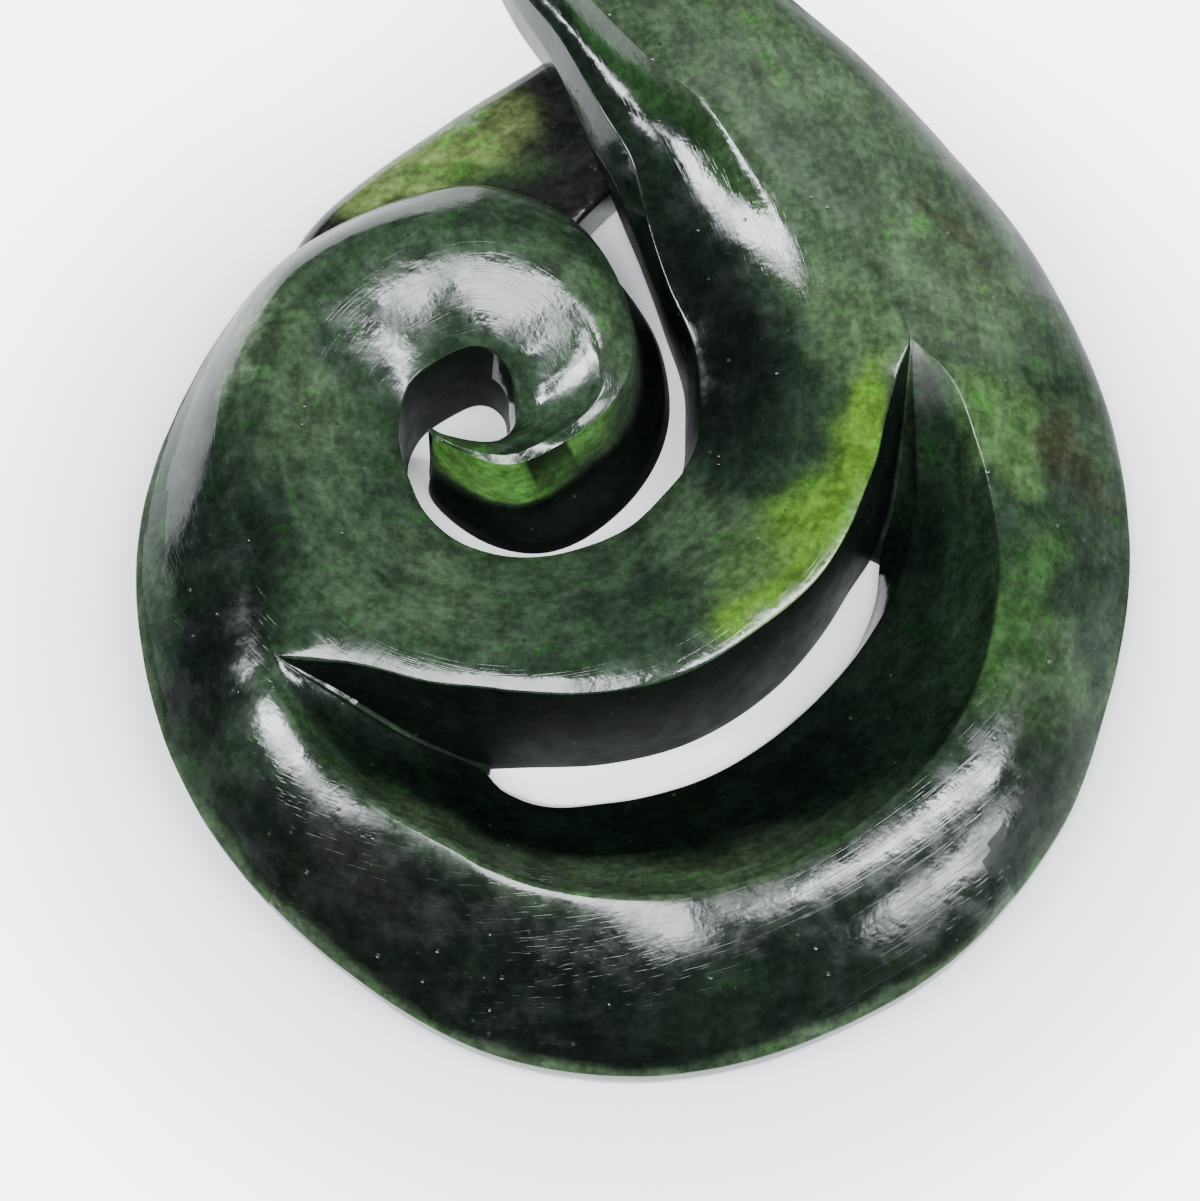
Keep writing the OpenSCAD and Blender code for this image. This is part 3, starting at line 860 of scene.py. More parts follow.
@dataclass
class CarvedStone:
    """The whole pendant, carved from one stone.

    Attributes:
        spiral: The strand that makes the disc and the front of the twist.
        back: The strand behind it.
        eye: The eye for the cord.
        drawn_middle: Middle of the pendant's box as drawn.
        drawn_width: Width of the disc as drawn.
        sharp_deg: Angle from which an edge is sharp.
    """

    spiral: SpiralStrand = field(default_factory=SpiralStrand)
    back: BackStrand = field(default_factory=BackStrand)
    eye: CordEye = field(default_factory=CordEye)
    drawn_middle: tuple[float, float] = (-0.0093, 11.3)
    drawn_width: float = 42.4185
    sharp_deg: float = 38.0

    def scale(self) -> float:
        """Metres for each millimetre of the drawing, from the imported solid's width."""
        low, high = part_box("carved_stone")
        return (high.x - low.x) / self.drawn_width

    def to_frame(self, points: Array | tuple[float, float, float]) -> Array:
        """Turns points of the drawing into places in the frame, in metres."""
        k = self.scale()
        return np.subtract(points, (*self.drawn_middle, 0.0)) * (k, k, MM)

    def build(self) -> bpy.types.Object:
        """Makes the stone in its place.

        Returns:
            The finished object.
        """
        stone = self.spiral.build()
        joined(stone, self.back.build(), "UNION")
        joined(stone, self.eye.build(), "DIFFERENCE")
        fill_marks(stone, [self.spiral.marks, self.back.marks])
        mesh = stone.data
        move_points(mesh, self.to_frame(points_of(mesh)))
        mesh.polygons.foreach_set("use_smooth", [True] * len(mesh.polygons))
        mesh.set_sharp_from_angle(angle=math.radians(self.sharp_deg))
        mesh.update()
        stone.name = "greenstone_pendant"
        return stone


class Tint(Enum):
    """Colours of the stone, as the light that it scatters back. The glowing green is partly the
    stone's emerald and partly a painted glow, as of light through thin stone.
    """

    NIGHT = (0.0011, 0.0024, 0.0015)
    DEEP = (0.0040, 0.0080, 0.0048)
    FOREST = (0.0098, 0.0190, 0.0098)
    MOSS = (0.0203, 0.0351, 0.0196)
    SAGE = (0.0312, 0.0493, 0.0261)
    MEADOW = (0.0421, 0.0682, 0.0312)
    LEAF = (0.0189, 0.0473, 0.0128)
    EMERALD = (0.0169, 0.0520, 0.0130)
    SPRING = (0.0450, 0.0887, 0.0300)
    LIME = (0.0546, 0.1170, 0.0117)
    GLOWING = (0.0620, 0.1600, 0.0280)
    STRAW = (0.1020, 0.1476, 0.0444)
    OLIVE = (0.0630, 0.0825, 0.0285)
    SLATE = (0.0180, 0.0215, 0.0190)
    UMBER = (0.0080, 0.0088, 0.0074)
    RUST = (0.0221, 0.0228, 0.0117)
    CREAM = (0.1320, 0.1760, 0.1100)


@dataclass(frozen=True)
class Zone:
    """An oval with a soft edge on a chart of the stone.

    The chart is the plan, in millimetres as placed, or the carving, in stations and in places
    across it.

    Attributes:
        name: What it is.
        centre: Its middle.
        half: Its half lengths.
        turn: Turn of its length from the first axis, in degrees.
        cover: How far it covers what lies below it.
        haze: Share of its half length over which it fades out.
    """

    name: str
    centre: tuple[float, float]
    half: tuple[float, float]
    turn: float = 0.0
    cover: float = 1.0
    haze: float = 0.7

    def cover_at(self, points: Array) -> Array:
        """How far it covers each point.

        Args:
            points: The points on its chart.

        Returns:
            From 0 to its cover.
        """
        turn = math.radians(self.turn)
        off = points - np.array(self.centre)
        u = (off[:, 0] * math.cos(turn) + off[:, 1] * math.sin(turn)) / self.half[0]
        v = (off[:, 1] * math.cos(turn) - off[:, 0] * math.sin(turn)) / self.half[1]
        t = np.clip((1 + self.haze / 2 - np.hypot(u, v)) / self.haze, 0, 1)
        return self.cover * t**2 * (3 - 2 * t)


@dataclass(frozen=True)
class Patch:
    """A cloudy patch of colour in the stone, or of painted shade, sheen or glow where a comment
    says so.

    Attributes:
        tint: Its colour.
        zone: Where it lies.
    """

    tint: Tint
    zone: Zone


PLAN_PATCHES = (
    Patch(Tint.SAGE, Zone("face of the front strand", (9.5, 7.0), (14.0, 5.4), -42)),
    Patch(Tint.MEADOW, Zone("lighter face", (13.2, 3.2), (5.0, 2.3), -45, 0.8)),
    Patch(Tint.MEADOW, Zone("light by the rim above", (6.4, 13.2), (5.0, 1.6), -50, 0.5)),
    Patch(Tint.MOSS, Zone("dull middle of the face", (8.6, 6.4), (3.6, 1.3), -52, 0.35)),
    Patch(Tint.MEADOW, Zone("pale cloud below the face", (9.8, -0.4), (3.0, 1.5), -35, 0.9)),
    Patch(Tint.RUST, Zone("first stain of the face", (12.2, 6.0), (1.6, 0.45), -48, 0.75)),
    Patch(Tint.RUST, Zone("second stain of the face", (14.6, 4.4), (1.2, 0.5), -30, 0.7)),
    Patch(Tint.FOREST, Zone("dark right of the crescent tip", (17.4, -0.6), (2.4, 2.2), -60, 0.6)),
    Patch(Tint.SPRING, Zone("spring green right", (15.6, -4.3), (3.4, 1.4), -58, 0.9)),
    Patch(Tint.RUST, Zone("rust by the right rim", (19.0, -5.0), (2.4, 1.5), -70, 0.8)),
    Patch(Tint.FOREST, Zone("dark right side", (18.2, -9.2), (3.6, 2.0), 88, 0.9)),
    Patch(Tint.LEAF, Zone("leaf green low right", (15.8, -13.2), (4.6, 1.5), 66, 0.9)),
    Patch(Tint.MEADOW, Zone("pale low right", (16.8, -16.4), (3.2, 1.6), 62, 0.7)),
    Patch(Tint.MOSS, Zone("inner band", (-4.0, -13.2), (9.5, 3.4), 0, 0.9)),
    Patch(Tint.SAGE, Zone("inner band left", (-9.6, -11.8), (4.6, 2.6), -30, 0.8)),
    Patch(Tint.DEEP, Zone("dark below the head", (0.4, -12.4), (3.6, 1.6), 12, 0.6)),
    Patch(Tint.SAGE, Zone("lobe's light band", (-14.0, -4.6), (6.2, 2.1), -78, 0.85)),
    Patch(Tint.MOSS, Zone("lobe's light foot", (-12.6, -9.4), (4.0, 1.9), -50, 0.8)),
    # Partly pale stone and partly a painted sheen, standing in for a lamp's soft reflection on the
    # upper left shoulder.
    Patch(Tint.CREAM, Zone("pale stone and painted sheen on the upper left shoulder", (-17.4, 0.6), (3.4, 1.3), 58, 0.75)),
    Patch(Tint.MOSS, Zone("moss on the upper left", (-11.6, 4.6), (4.2, 2.0), 35, 0.9)),
    Patch(Tint.DEEP, Zone("dark lobe", (-17.6, -10.6), (5.6, 2.6), 80, 0.95)),
    Patch(Tint.NIGHT, Zone("darkest of the lobe", (-17.0, -14.4), (3.6, 2.2), 60, 0.8)),
    Patch(Tint.MOSS, Zone("olive edge of the lobe", (-19.4, -4.4), (4.2, 1.2), 78, 0.7)),
    Patch(Tint.MOSS, Zone("top of the head", (-7.0, 4.6), (4.4, 2.0), 0, 0.95)),
    Patch(Tint.SAGE, Zone("pale top of the head", (-8.4, 6.4), (3.4, 0.9), 8, 0.7)),
    Patch(Tint.SAGE, Zone("rim of the head", (-1.8, 0.6), (4.4, 1.4), -66, 0.9)),
    Patch(Tint.MOSS, Zone("head beside the eye", (-3.6, -2.2), (2.6, 1.6), 40, 0.8)),
    Patch(Tint.FOREST, Zone("dull heart of the head", (-6.4, 1.0), (2.6, 1.8), 20, 0.6)),
)

CARVING_PATCHES = (
    Patch(Tint.MOSS, Zone("moss on the left shoulder", (18.3, 2.1), (1.6, 0.45), 0, 0.8, 0.8)),
    # Partly lime stone and partly a painted glow, as of light through the thin stone above the
    # crescent's wall.
    Patch(Tint.LIME, Zone("lime stone and painted glow by the crescent", (21.9, 2.42), (1.45, 0.75), 0, 0.95, 0.4)),
    Patch(Tint.LIME, Zone("lime stone and painted glow up the bevel", (23.5, 2.45), (1.1, 0.5), 0, 0.95, 0.5)),
    Patch(Tint.SAGE, Zone("olive below the lime", (21.2, 1.65), (1.0, 0.5), 0, 0.7, 0.8)),
    Patch(Tint.FOREST,
          Zone("dark shoulder left of the lime", (18.9, 2.6), (1.6, 0.6), 0, 0.6, 0.8)),
    Patch(Tint.DEEP, Zone("scoop of the front strand", (28.2, 1.0), (3.0, 0.95), 0, 1.0, 0.3)),
    Patch(Tint.DEEP, Zone("dark below that scoop", (24.4, 1.3), (2.6, 0.46), 0, 1.0, 0.8)),
    Patch(Tint.NIGHT, Zone("night below that scoop", (25.2, 1.15), (2.2, 0.4), 0, 0.95, 0.8)),
    Patch(Tint.EMERALD,
          Zone("emerald by the front ridge", (29.3, 1.75), (0.9, 0.18), 0, 0.6, 0.9)),
    Patch(Tint.LEAF, Zone("emerald down the front ridge", (27.0, 1.85), (1.4, 0.14), 0, 0.6, 0.9)),
    Patch(Tint.SLATE, Zone("grey facet", (30.2, 0.55), (1.7, 0.42), 0, 0.9, 0.5)),
    Patch(Tint.DEEP, Zone("long scoop", (20.2, 5.0), (5.2, 0.98), 0, 1.0, 0.12)),
    Patch(Tint.NIGHT, Zone("bottom of the long scoop", (19.0, 5.35), (2.6, 0.5), 0, 0.9, 0.8)),
    Patch(Tint.FOREST, Zone("end of the crest above", (24.2, 5.2), (0.5, 0.7), 0, 0.8, 0.8)),
    Patch(Tint.FOREST,
          Zone("green inside the right of it", (22.9, 5.7), (0.9, 0.25), 0, 0.7, 0.9)),
    Patch(Tint.NIGHT, Zone("lower band", (18.6, 6.55), (2.9, 0.52), 0, 0.95, 0.45)),
    Patch(Tint.DEEP, Zone("lower band right", (20.8, 6.5), (1.6, 0.45), 0, 0.9, 0.7)),
    Patch(Tint.UMBER, Zone("brown stain of the band", (17.0, 6.35), (0.5, 0.2), 0, 0.8, 0.9)),
    Patch(Tint.SAGE, Zone("crest of the lower band", (18.7, 5.86), (2.2, 0.26), 0, 0.9, 0.8)),
    Patch(Tint.SAGE, Zone("rim line", (17.0, 6.98), (9.0, 0.17), 0, 0.9, 0.6)),
    # Painted glow: the head's outer slope is partly emerald stone and partly a painted glow of
    # light through the thin stone. It is brightened where less light reaches it.
    Patch(Tint.GLOWING, Zone("head's outer slope", (2.0, 7.03), (2.0, 0.2), 0, 0.95, 0.5)),
    # Painted shade: near black at the foot of the head's outer wall, by the gap, where shade
    # falls.
    Patch(Tint.NIGHT, Zone("painted shade at the foot of that slope", (3.5, 7.7), (4.6, 0.44), 0, 1.0, 0.3)),
    Patch(Tint.LEAF, Zone("tip of the head", (1.2, 2.5), (0.9, 3.0), 0, 0.8, 0.8)),
    # Painted shade: the walls of the eye, the gap and the crescent are darkened to near black
    # where shade falls inside them.
    Patch(Tint.NIGHT, Zone("wall of the eye", (7.5, 0.1), (8.0, 0.82), 0, 0.97, 0.15)),
    Patch(Tint.NIGHT, Zone("painted shade on the wall of the gap", (20.0, 0.1), (9.0, 0.82), 0, 0.97, 0.15)),
    Patch(Tint.NIGHT, Zone("wall of the crescent", (20.2, 3.72), (5.4, 0.62), 0, 0.95, 0.15)),
    # Painted shade: near black at the foot of the disc's rim, where it meets the floor.
    Patch(Tint.NIGHT, Zone("painted shade at the foot of the disc", (18.6, 8.05), (6.4, 0.6), 0, 1.0, 0.6)),
)

BACK_PATCHES = (
    Patch(Tint.STRAW, Zone("straw end", (-9.4, 9.6), (4.2, 2.8), 25, 0.95, 0.6)),
    Patch(Tint.OLIVE, Zone("olive middle", (-6.6, 11.6), (2.2, 2.6), 60, 0.9, 0.8)),
    # Partly pale stone and partly a painted glow, as of light through the back strand's thin edge.
    Patch(Tint.CREAM, Zone("pale stone and painted glow along the outer edge", (-10.6, 11.4), (5.0, 0.8), 38, 0.7, 0.8)),
    Patch(Tint.LEAF, Zone("leaf streak", (-7.2, 8.4), (2.6, 0.8), 10, 0.6, 0.9)),
)

SATIN = (
    Zone("face of the front strand", (27.8, 4.9), (3.6, 2.7), 0, 1.0, 0.12),
    Zone("inner band", (18.2, 1.45), (3.4, 0.42), 0, 0.55, 0.5),
    Zone("lower band", (19.0, 6.5), (3.5, 0.5), 0, 0.25, 0.6),
    Zone("lobe's light band", (13.6, 1.7), (1.6, 0.8), 0, 0.35, 0.7),
    Zone("right side", (23.4, 6.45), (1.2, 0.42), 0, 0.35, 0.7),
)

WALLS = (
    Zone("wall of the eye and the gap", (16.0, 0.1), (14.0, 0.85), 0, 1.0, 0.2),
    Zone("wall of the crescent", (20.2, 3.75), (5.4, 0.6), 0, 1.0, 0.2),
)


@dataclass(frozen=True)
class Grain:
    """A cloudy noise.

    Attributes:
        scale: How often it changes for each unit.
        detail: How many finer layers it has.
        rough: How strong they are.
    """

    scale: float
    detail: float = 3.0
    rough: float = 0.55


@dataclass(frozen=True)
class Sweep:
    """A smooth move from one range of numbers to another.

    Attributes:
        low: Start of the first range.
        high: End of the first range.
        start: What its start becomes.
        end: What its end becomes.
    """

    low: float
    high: float
    start: float = 0.0
    end: float = 1.0


@dataclass
class Painter:
    """Builds the nodes of a material, in the order in which they are asked for.

    Attributes:
        tree: The material's node tree.
    """

    tree: bpy.types.NodeTree

    def node(self, kind: str, inputs: dict[str | int, object] | None = None, **settings: object
             ) -> bpy.types.Node:
        """Adds a node.

        Args:
            kind: Its type.
            inputs: For each input a socket to link or a constant. None leaves it as it is.
            settings: Its properties.

        Returns:
            The node.
        """
        node = self.tree.nodes.new(kind)
        for name, value in settings.items():
            setattr(node, name, value)
        for socket, value in (inputs or {}).items():
            self.put(node, socket, value)
        return node

    def put(self, node: bpy.types.Node, socket: str | int, value: object) -> None:
        """Gives an input of a node its value.

        Args:
            node: The node.
            socket: Name or number of the input.
            value: A socket to link or a constant. None leaves the input as it is.
        """
        if isinstance(value, bpy.types.NodeSocket):
            self.tree.links.new(value, node.inputs[socket])
        elif value is not None:
            node.inputs[socket].default_value = value

    def math(self, kind: str, a: object, b: object, clamp: bool = False) -> bpy.types.NodeSocket:
        """Works out a number from two others."""
        node = self.node("ShaderNodeMath", {0: a, 1: b}, operation=kind, use_clamp=clamp)
        return node.outputs[0]

    def vector(self, kind: str, a: object, b: object) -> bpy.types.Node:
        """Works out a vector or a number from two vectors."""
        return self.node("ShaderNodeVectorMath", {0: a, 1: b}, operation=kind)

    def scaled(self, vector: object, scale: float) -> bpy.types.NodeSocket:
        """Scales a vector."""
        inputs = {0: vector, "Scale": scale}
        return self.node("ShaderNodeVectorMath", inputs, operation="SCALE").outputs[0]

    def noise(self, vector: object, grain: Grain) -> bpy.types.Node:
        """Cloudy noise."""
        return self.node("ShaderNodeTexNoise", {"Vector": vector, "Scale": grain.scale,
                                                "Detail": grain.detail, "Roughness": grain.rough})

    def ramp(self, value: object, sweep: Sweep) -> bpy.types.NodeSocket:
        """Moves a number smoothly from one range to another."""
        inputs = {"Value": value, "From Min": sweep.low, "From Max": sweep.high,
                  "To Min": sweep.start, "To Max": sweep.end}
        return self.node("ShaderNodeMapRange", inputs,
                         interpolation_type="SMOOTHSTEP").outputs["Result"]

    def channels(self, tone: object) -> tuple[bpy.types.NodeSocket, ...]:
        """The three channels of a colour."""
        return tuple(self.node("ShaderNodeSeparateColor", {0: tone}).outputs[:3])

    def shaded(self, tone: object, level: object) -> bpy.types.NodeSocket:
        """Multiplies a colour by a number."""
        return self.vector("MULTIPLY", tone, level).outputs[0]

    def mix(self, factor: object, a: object, b: object, blend: str = "MIX"
            ) -> bpy.types.NodeSocket:
        """Mixes two colours."""
        return self.node("ShaderNodeMix", {0: factor, 6: a, 7: b}, data_type="RGBA",
                         blend_type=blend).outputs[2]


class Surface(IntEnum):
    """How a face of the stone is finished, as the number of its material."""

    POLISHED = 0
    WORN = 1
    CUT = 2


@dataclass(frozen=True)
class FinishRule:
    """Chooses the finish of each face by its place on the carving's chart.

    Attributes:
        slot: Stations between which the crescent goes through the stone.
        slot_from: Place across from which a face can lie in that slot.
        slot_span: Places across that a face through the stone spans.
        upright: Upright share of its normal below which such a face is a wall.
        head_to: Last station of the head.
        head_from: Place across from which the head's outer slope is cut.
        wall_cover: How far a wall's zone covers a face that is cut.
        left_rim: Stations of the left rim.
        right_rim: Stations of the right rim.
        rim_to: Place across up to which the rims reach.
        worn_from: Place across from which they are worn.
        cut_from: Place across from which the left rim is cut.
    """

    slot: tuple[float, float] = (16.0, 23.5)
    slot_from: float = 3.3
    slot_span: float = 2.0
    upright: float = 0.7
    head_to: float = 8.0
    head_from: float = 7.11
    wall_cover: float = 0.5
    left_rim: tuple[float, float] = (8.5, 16.5)
    right_rim: tuple[float, float] = (21.5, 25.5)
    rim_to: float = 7.9
    worn_from: float = 6.5
    cut_from: float = 6.74

    def surface_of(self, places: Array, moved: Array, wall: float, up: float) -> Surface:
        """Chooses the finish of a face.

        Args:
            places: Station and place across of its corners.
            moved: Their mean after the drift that moves the patches' edges.
            wall: How far the walls' zones cover it.
            up: Upright share of its normal.

        Returns:
            The finish.
        """
        station = places[0, 0]
        across = places[:, 1]
        at_slot = self.slot[0] < station < self.slot[1] and across.min() > self.slot_from
        through = at_slot and np.ptp(across) > self.slot_span and abs(up) < self.upright
        of_head = station < self.head_to and across.mean() > self.head_from
        left = self.left_rim[0] < moved[0] < self.left_rim[1] and moved[1] < self.rim_to
        right = self.right_rim[0] < moved[0] < self.right_rim[1] and moved[1] < self.rim_to
        if of_head or through or wall > self.wall_cover or (left and moved[1] > self.cut_from):
            return Surface.CUT
        if (left or right) and moved[1] > self.worn_from:
            return Surface.WORN
        return Surface.POLISHED


@dataclass(frozen=True)
class Clouds:
    """The large patches of colour, with painted shade, sheen and glow among them, and the dull
    zones, worked out at every point of the stone.

    Attributes:
        drifts: Noise that moves the edges of the patches about: how often it changes for each
            millimetre, and how far it reaches, in millimetres.
        mm_for_station: Millimetres for a step of the carving's chart along, and across.
        waves: How often the surface rises for each millimetre, and its height in millimetres.
        seed: Start of the drift's random numbers, the same in every run.
        waves_from: Height above the floor from which the waves are whole, in millimetres.
        ground: How often the ground colour changes for each millimetre.
        ground_fractal: How fast its finer layers fade, how much finer each is, and their number.
        back_from: Station from which a point lies on the back strand.
        rule: What chooses the finish of each face.
    """

    drifts: tuple[tuple[float, float], ...] = ((0.3, 1.7), (1.1, 0.7), (2.6, 0.25))
    mm_for_station: tuple[float, float] = (7.0, 26.0)
    waves: tuple[tuple[float, float], ...] = ((0.22, 0.06), (0.6, 0.02))
    seed: int = 7
    waves_from: float = 0.5
    ground: float = 0.22
    ground_fractal: tuple[float, float, int] = (0.8, 2.0, 3)
    back_from: float = 49.0
    rule: FinishRule = FinishRule()

    def drift(self, points: Array) -> Array:
        """Works out how far the patches are moved.

        Args:
            points: Points of the stone, in millimetres.

        Returns:
            The move at each point, in millimetres.
        """
        noise.seed_set(self.seed)
        total = np.zeros_like(points)
        for scale, reach in self.drifts:
            total += reach * np.array([noise.noise_vector(p) for p in points * scale])
        return total

    def soften(self, stone: bpy.types.Object) -> None:
        """Moves the surface slightly in and out, as hand work leaves it.

        Args:
            stone: The finished stone, in its place.
        """
        mesh = stone.data
        points = points_of(mesh)
        normals = np.empty(len(points) * 3)
        mesh.vertex_normals.foreach_get("vector", normals)
        waves = np.zeros(len(points))
        for scale, height in self.waves:
            waves += height * MM * np.array([noise.noise(p) for p in points / MM * scale])
        raised = np.clip(points[:, 2] / (self.waves_from * MM), 0, 1)
        move_points(mesh, points + normals.reshape(-1, 3) * (waves * raised)[:, None])

    def paint(self, stone: bpy.types.Object) -> None:
        """Writes the colours, with painted shade, sheen and glow among them, and the dull zones
        onto the stone's mesh, and chooses its finishes.

        Args:
            stone: The finished stone, in its place.
        """
        mesh = stone.data
        points = points_of(mesh) / MM
        carving = np.empty(len(points) * 3)
        mesh.attributes["carving"].data.foreach_get("vector", carving)
        carving = carving.reshape(-1, 3)[:, :2]
        drift = self.drift(points)[:, :2]
        on_back = carving[:, 0] > self.back_from
        plan = points[:, :2] + drift
        moved = carving + drift / np.array(self.mm_for_station)
        tone = self.covered(self.grounded(points), PLAN_PATCHES, plan)
        tone = self.covered(tone, CARVING_PATCHES, moved)
        back = np.tile(Tint.UMBER.value, (len(points), 1))
        tone[on_back] = self.covered(back, BACK_PATCHES, plan)[on_back]
        dull = self.strongest(SATIN, moved) * ~on_back
        wall = self.strongest(WALLS, carving) * ~on_back
        write_vectors(mesh, "clouds", tone)
        write_vectors(mesh, "dullness", np.outer(dull, (1.0, 0.0, 0.0)))
        for polygon in mesh.polygons:
            corners = list(polygon.vertices)
            polygon.material_index = self.rule.surface_of(
                carving[corners], moved[corners].mean(axis=0), wall[corners].mean(),
                polygon.normal.z)

    def grounded(self, points: Array) -> Array:
        """Works out the colour that lies below the patches.

        Args:
            points: Points of the stone, in millimetres.

        Returns:
            The colour at each of them.
        """
        base = np.array([noise.fractal(p, *self.ground_fractal) for p in points * self.ground])
        share = np.clip(0.5 + base, 0, 1)[:, None]
        return np.array(Tint.FOREST.value) * (1 - share) + np.array(Tint.MOSS.value) * share

    def covered(self, tone: Array, patches: tuple[Patch, ...], points: Array) -> Array:
        """Lays patches over a colour, one after the other.

        Args:
            tone: The colour at each point.
            patches: The patches, the lowest first.
            points: The points on the patches' chart.

        Returns:
            The new colours.
        """
        for patch in patches:
            cover = patch.zone.cover_at(points)[:, None]
            tone = tone + (np.array(patch.tint.value) - tone) * cover
        return tone

    def strongest(self, zones: tuple[Zone, ...], points: Array) -> Array:
        """How far each point is covered by the zone that covers it most."""
        return np.max([zone.cover_at(points) for zone in zones], axis=0)


def colour(tint: Tint) -> tuple[float, float, float, float]:
    """A tint with full opacity."""
    return (*tint.value, 1.0)


@dataclass(frozen=True)
class Greenstone:
    """Polished green stone, with its mottling, fibres, specks and fine scratches.

    Attributes:
        name: Name of the finish.
        polished: Roughness where it is polished.
        satin: Roughness of the duller faces.
        gleam: How strongly it reflects, against clean polished stone at 0.5.
        ior: Its refractive index.
        wear: How the roughness changes with the mottling.
        mottle: The mottling.
        mottle_light: How light it makes the stone.
        fine: The finer mottling.
        fine_light: How light it makes the stone.
        fibre_scale: How often the fibres change along the strands, across them and up.
        fibres: The fibres.
        fibre_light: How light they make the stone.
        veins: Where the veins lie in the mottling, and how strong they are.
        vein_tint: What a vein does to the colour.
        cells: How many cells for specks and pits lie in a millimetre.
        speck: How a speck fades out from the middle of its cell.
        rarity: Chance that a cell has no light speck, no dark speck and no pit.
        rarity_fade: Range of chances over which they set in.
        speck_cover: How far the light and the dark specks cover the colour.
        scratch_scale: How often the scratches change along the strands, across them and up.
        scratches: The scratches.
        scratch_h: Their height, in parts of the relief.
        polish: How uneven the polish is.
        polish_h: Its height, in parts of the relief.
        pit_depth: Depth of the pits, in parts of the relief.
        relief: Height of the bumps, in metres.
    """

    name: str = "greenstone"
    polished: float = 0.13
    satin: float = 0.36
    gleam: float = 0.5
    ior: float = 1.6
    wear: Sweep = Sweep(0.35, 0.7, -0.03, 0.1)
    mottle: Grain = Grain(0.75, 4.0, 0.62)
    mottle_light: Sweep = Sweep(0.3, 0.7, 0.7, 1.38)
    fine: Grain = Grain(3.0, 3.0, 0.6)
    fine_light: Sweep = Sweep(0.3, 0.72, 0.8, 1.25)
    fibre_scale: tuple[float, float, float] = (0.25, 1.6, 1.6)
    fibres: Grain = Grain(1.0, 3.0, 0.6)
    fibre_light: Sweep = Sweep(0.32, 0.7, 0.82, 1.22)
    veins: Sweep = Sweep(0.58, 0.68, 0.0, 0.4)
    vein_tint: tuple[float, float, float, float] = (0.75, 2.0, 0.55, 1.0)
    cells: float = 1.2
    speck: Sweep = Sweep(0.12, 0.05)
    rarity: tuple[float, float, float] = (0.66, 0.74, 0.75)
    rarity_fade: float = 0.15
    speck_cover: tuple[float, float] = (0.5, 0.6)
    scratch_scale: tuple[float, float, float] = (0.25, 12.0, 5.0)
    scratches: Grain = Grain(1.0, 1.0)
    scratch_h: Sweep = Sweep(0.3, 0.42, 0.0, 0.22)
    polish: Grain = Grain(2.0, 2.0)
    polish_h: float = 1.6
    pit_depth: float = 2.5
    relief: float = 0.000008

    def build(self) -> bpy.types.Material:
        """Makes the material.

        Returns:
            The material.
        """
        material = bpy.data.materials.new(self.name)
        material.use_nodes = True
        tree = material.node_tree
        paint = Painter(tree)
        shader = tree.nodes["Principled BSDF"]
        paint.put(shader, "IOR", self.ior)
        paint.put(shader, "Specular IOR Level", self.gleam)
        plan = paint.scaled(paint.node("ShaderNodeTexCoord").outputs["Object"], 1 / MM)
        grain = paint.node("ShaderNodeAttribute", attribute_name="grain").outputs["Vector"]
        clouds = paint.node("ShaderNodeAttribute", attribute_name="clouds").outputs["Color"]
        dull = paint.node("ShaderNodeAttribute", attribute_name="dullness").outputs["Vector"]
        dull = paint.node("ShaderNodeSeparateXYZ", {0: dull}).outputs[0]
        mottle = paint.channels(paint.noise(plan, self.mottle).outputs["Color"])
        cells = paint.node("ShaderNodeTexVoronoi", {"Vector": plan, "Scale": self.cells})
        near = paint.ramp(cells.outputs["Distance"], self.speck)
        light, dark, pits = [
            paint.math("MULTIPLY", paint.ramp(chance, Sweep(rare, rare + self.rarity_fade)), near)
            for chance, rare in zip(paint.channels(cells.outputs["Color"]), self.rarity)
        ]
        tone = self.mottled(paint, plan, grain, clouds, mottle)
        for speck, tint, cover in zip((light, dark), (Tint.MEADOW, Tint.NIGHT), self.speck_cover):
            tone = paint.mix(speck, tone, paint.mix(cover, tone, colour(tint)))
        paint.put(shader, "Base Color", tone)
        level = paint.ramp(dull, Sweep(0.0, 1.0, self.polished, self.satin))
        wear = paint.ramp(mottle[2], self.wear)
        paint.put(shader, "Roughness", paint.math("ADD", level, wear, clamp=True))
        paint.put(shader, "Normal", self.relief_of(paint, plan, grain, pits))
        LOG.info("%s: %d nodes", material.name, len(tree.nodes))
        return material

    def mottled(self, paint: Painter, plan: object, grain: object, tone: object,
                mottle: tuple[object, ...]) -> object:
        """Adds the mottling, the fibres along the strands and the greener veins.

        Args:
            paint: What makes the nodes.
            plan: Place in the stone, in millimetres.
            grain: Distance along the strand, across it and up.
            tone: The colour of the clouds.
            mottle: The channels of the mottling.

        Returns:
            The new colour.
        """
        tone = paint.shaded(tone, paint.ramp(mottle[0], self.mottle_light))
        fine = paint.noise(plan, self.fine).outputs[0]
        tone = paint.shaded(tone, paint.ramp(fine, self.fine_light))
        lines = paint.vector("MULTIPLY", grain, self.fibre_scale).outputs[0]
        fibres = paint.noise(lines, self.fibres).outputs[0]
        tone = paint.shaded(tone, paint.ramp(fibres, self.fibre_light))
        greener = paint.mix(1.0, tone, self.vein_tint, "MULTIPLY")
        return paint.mix(paint.ramp(mottle[1], self.veins), tone, greener)

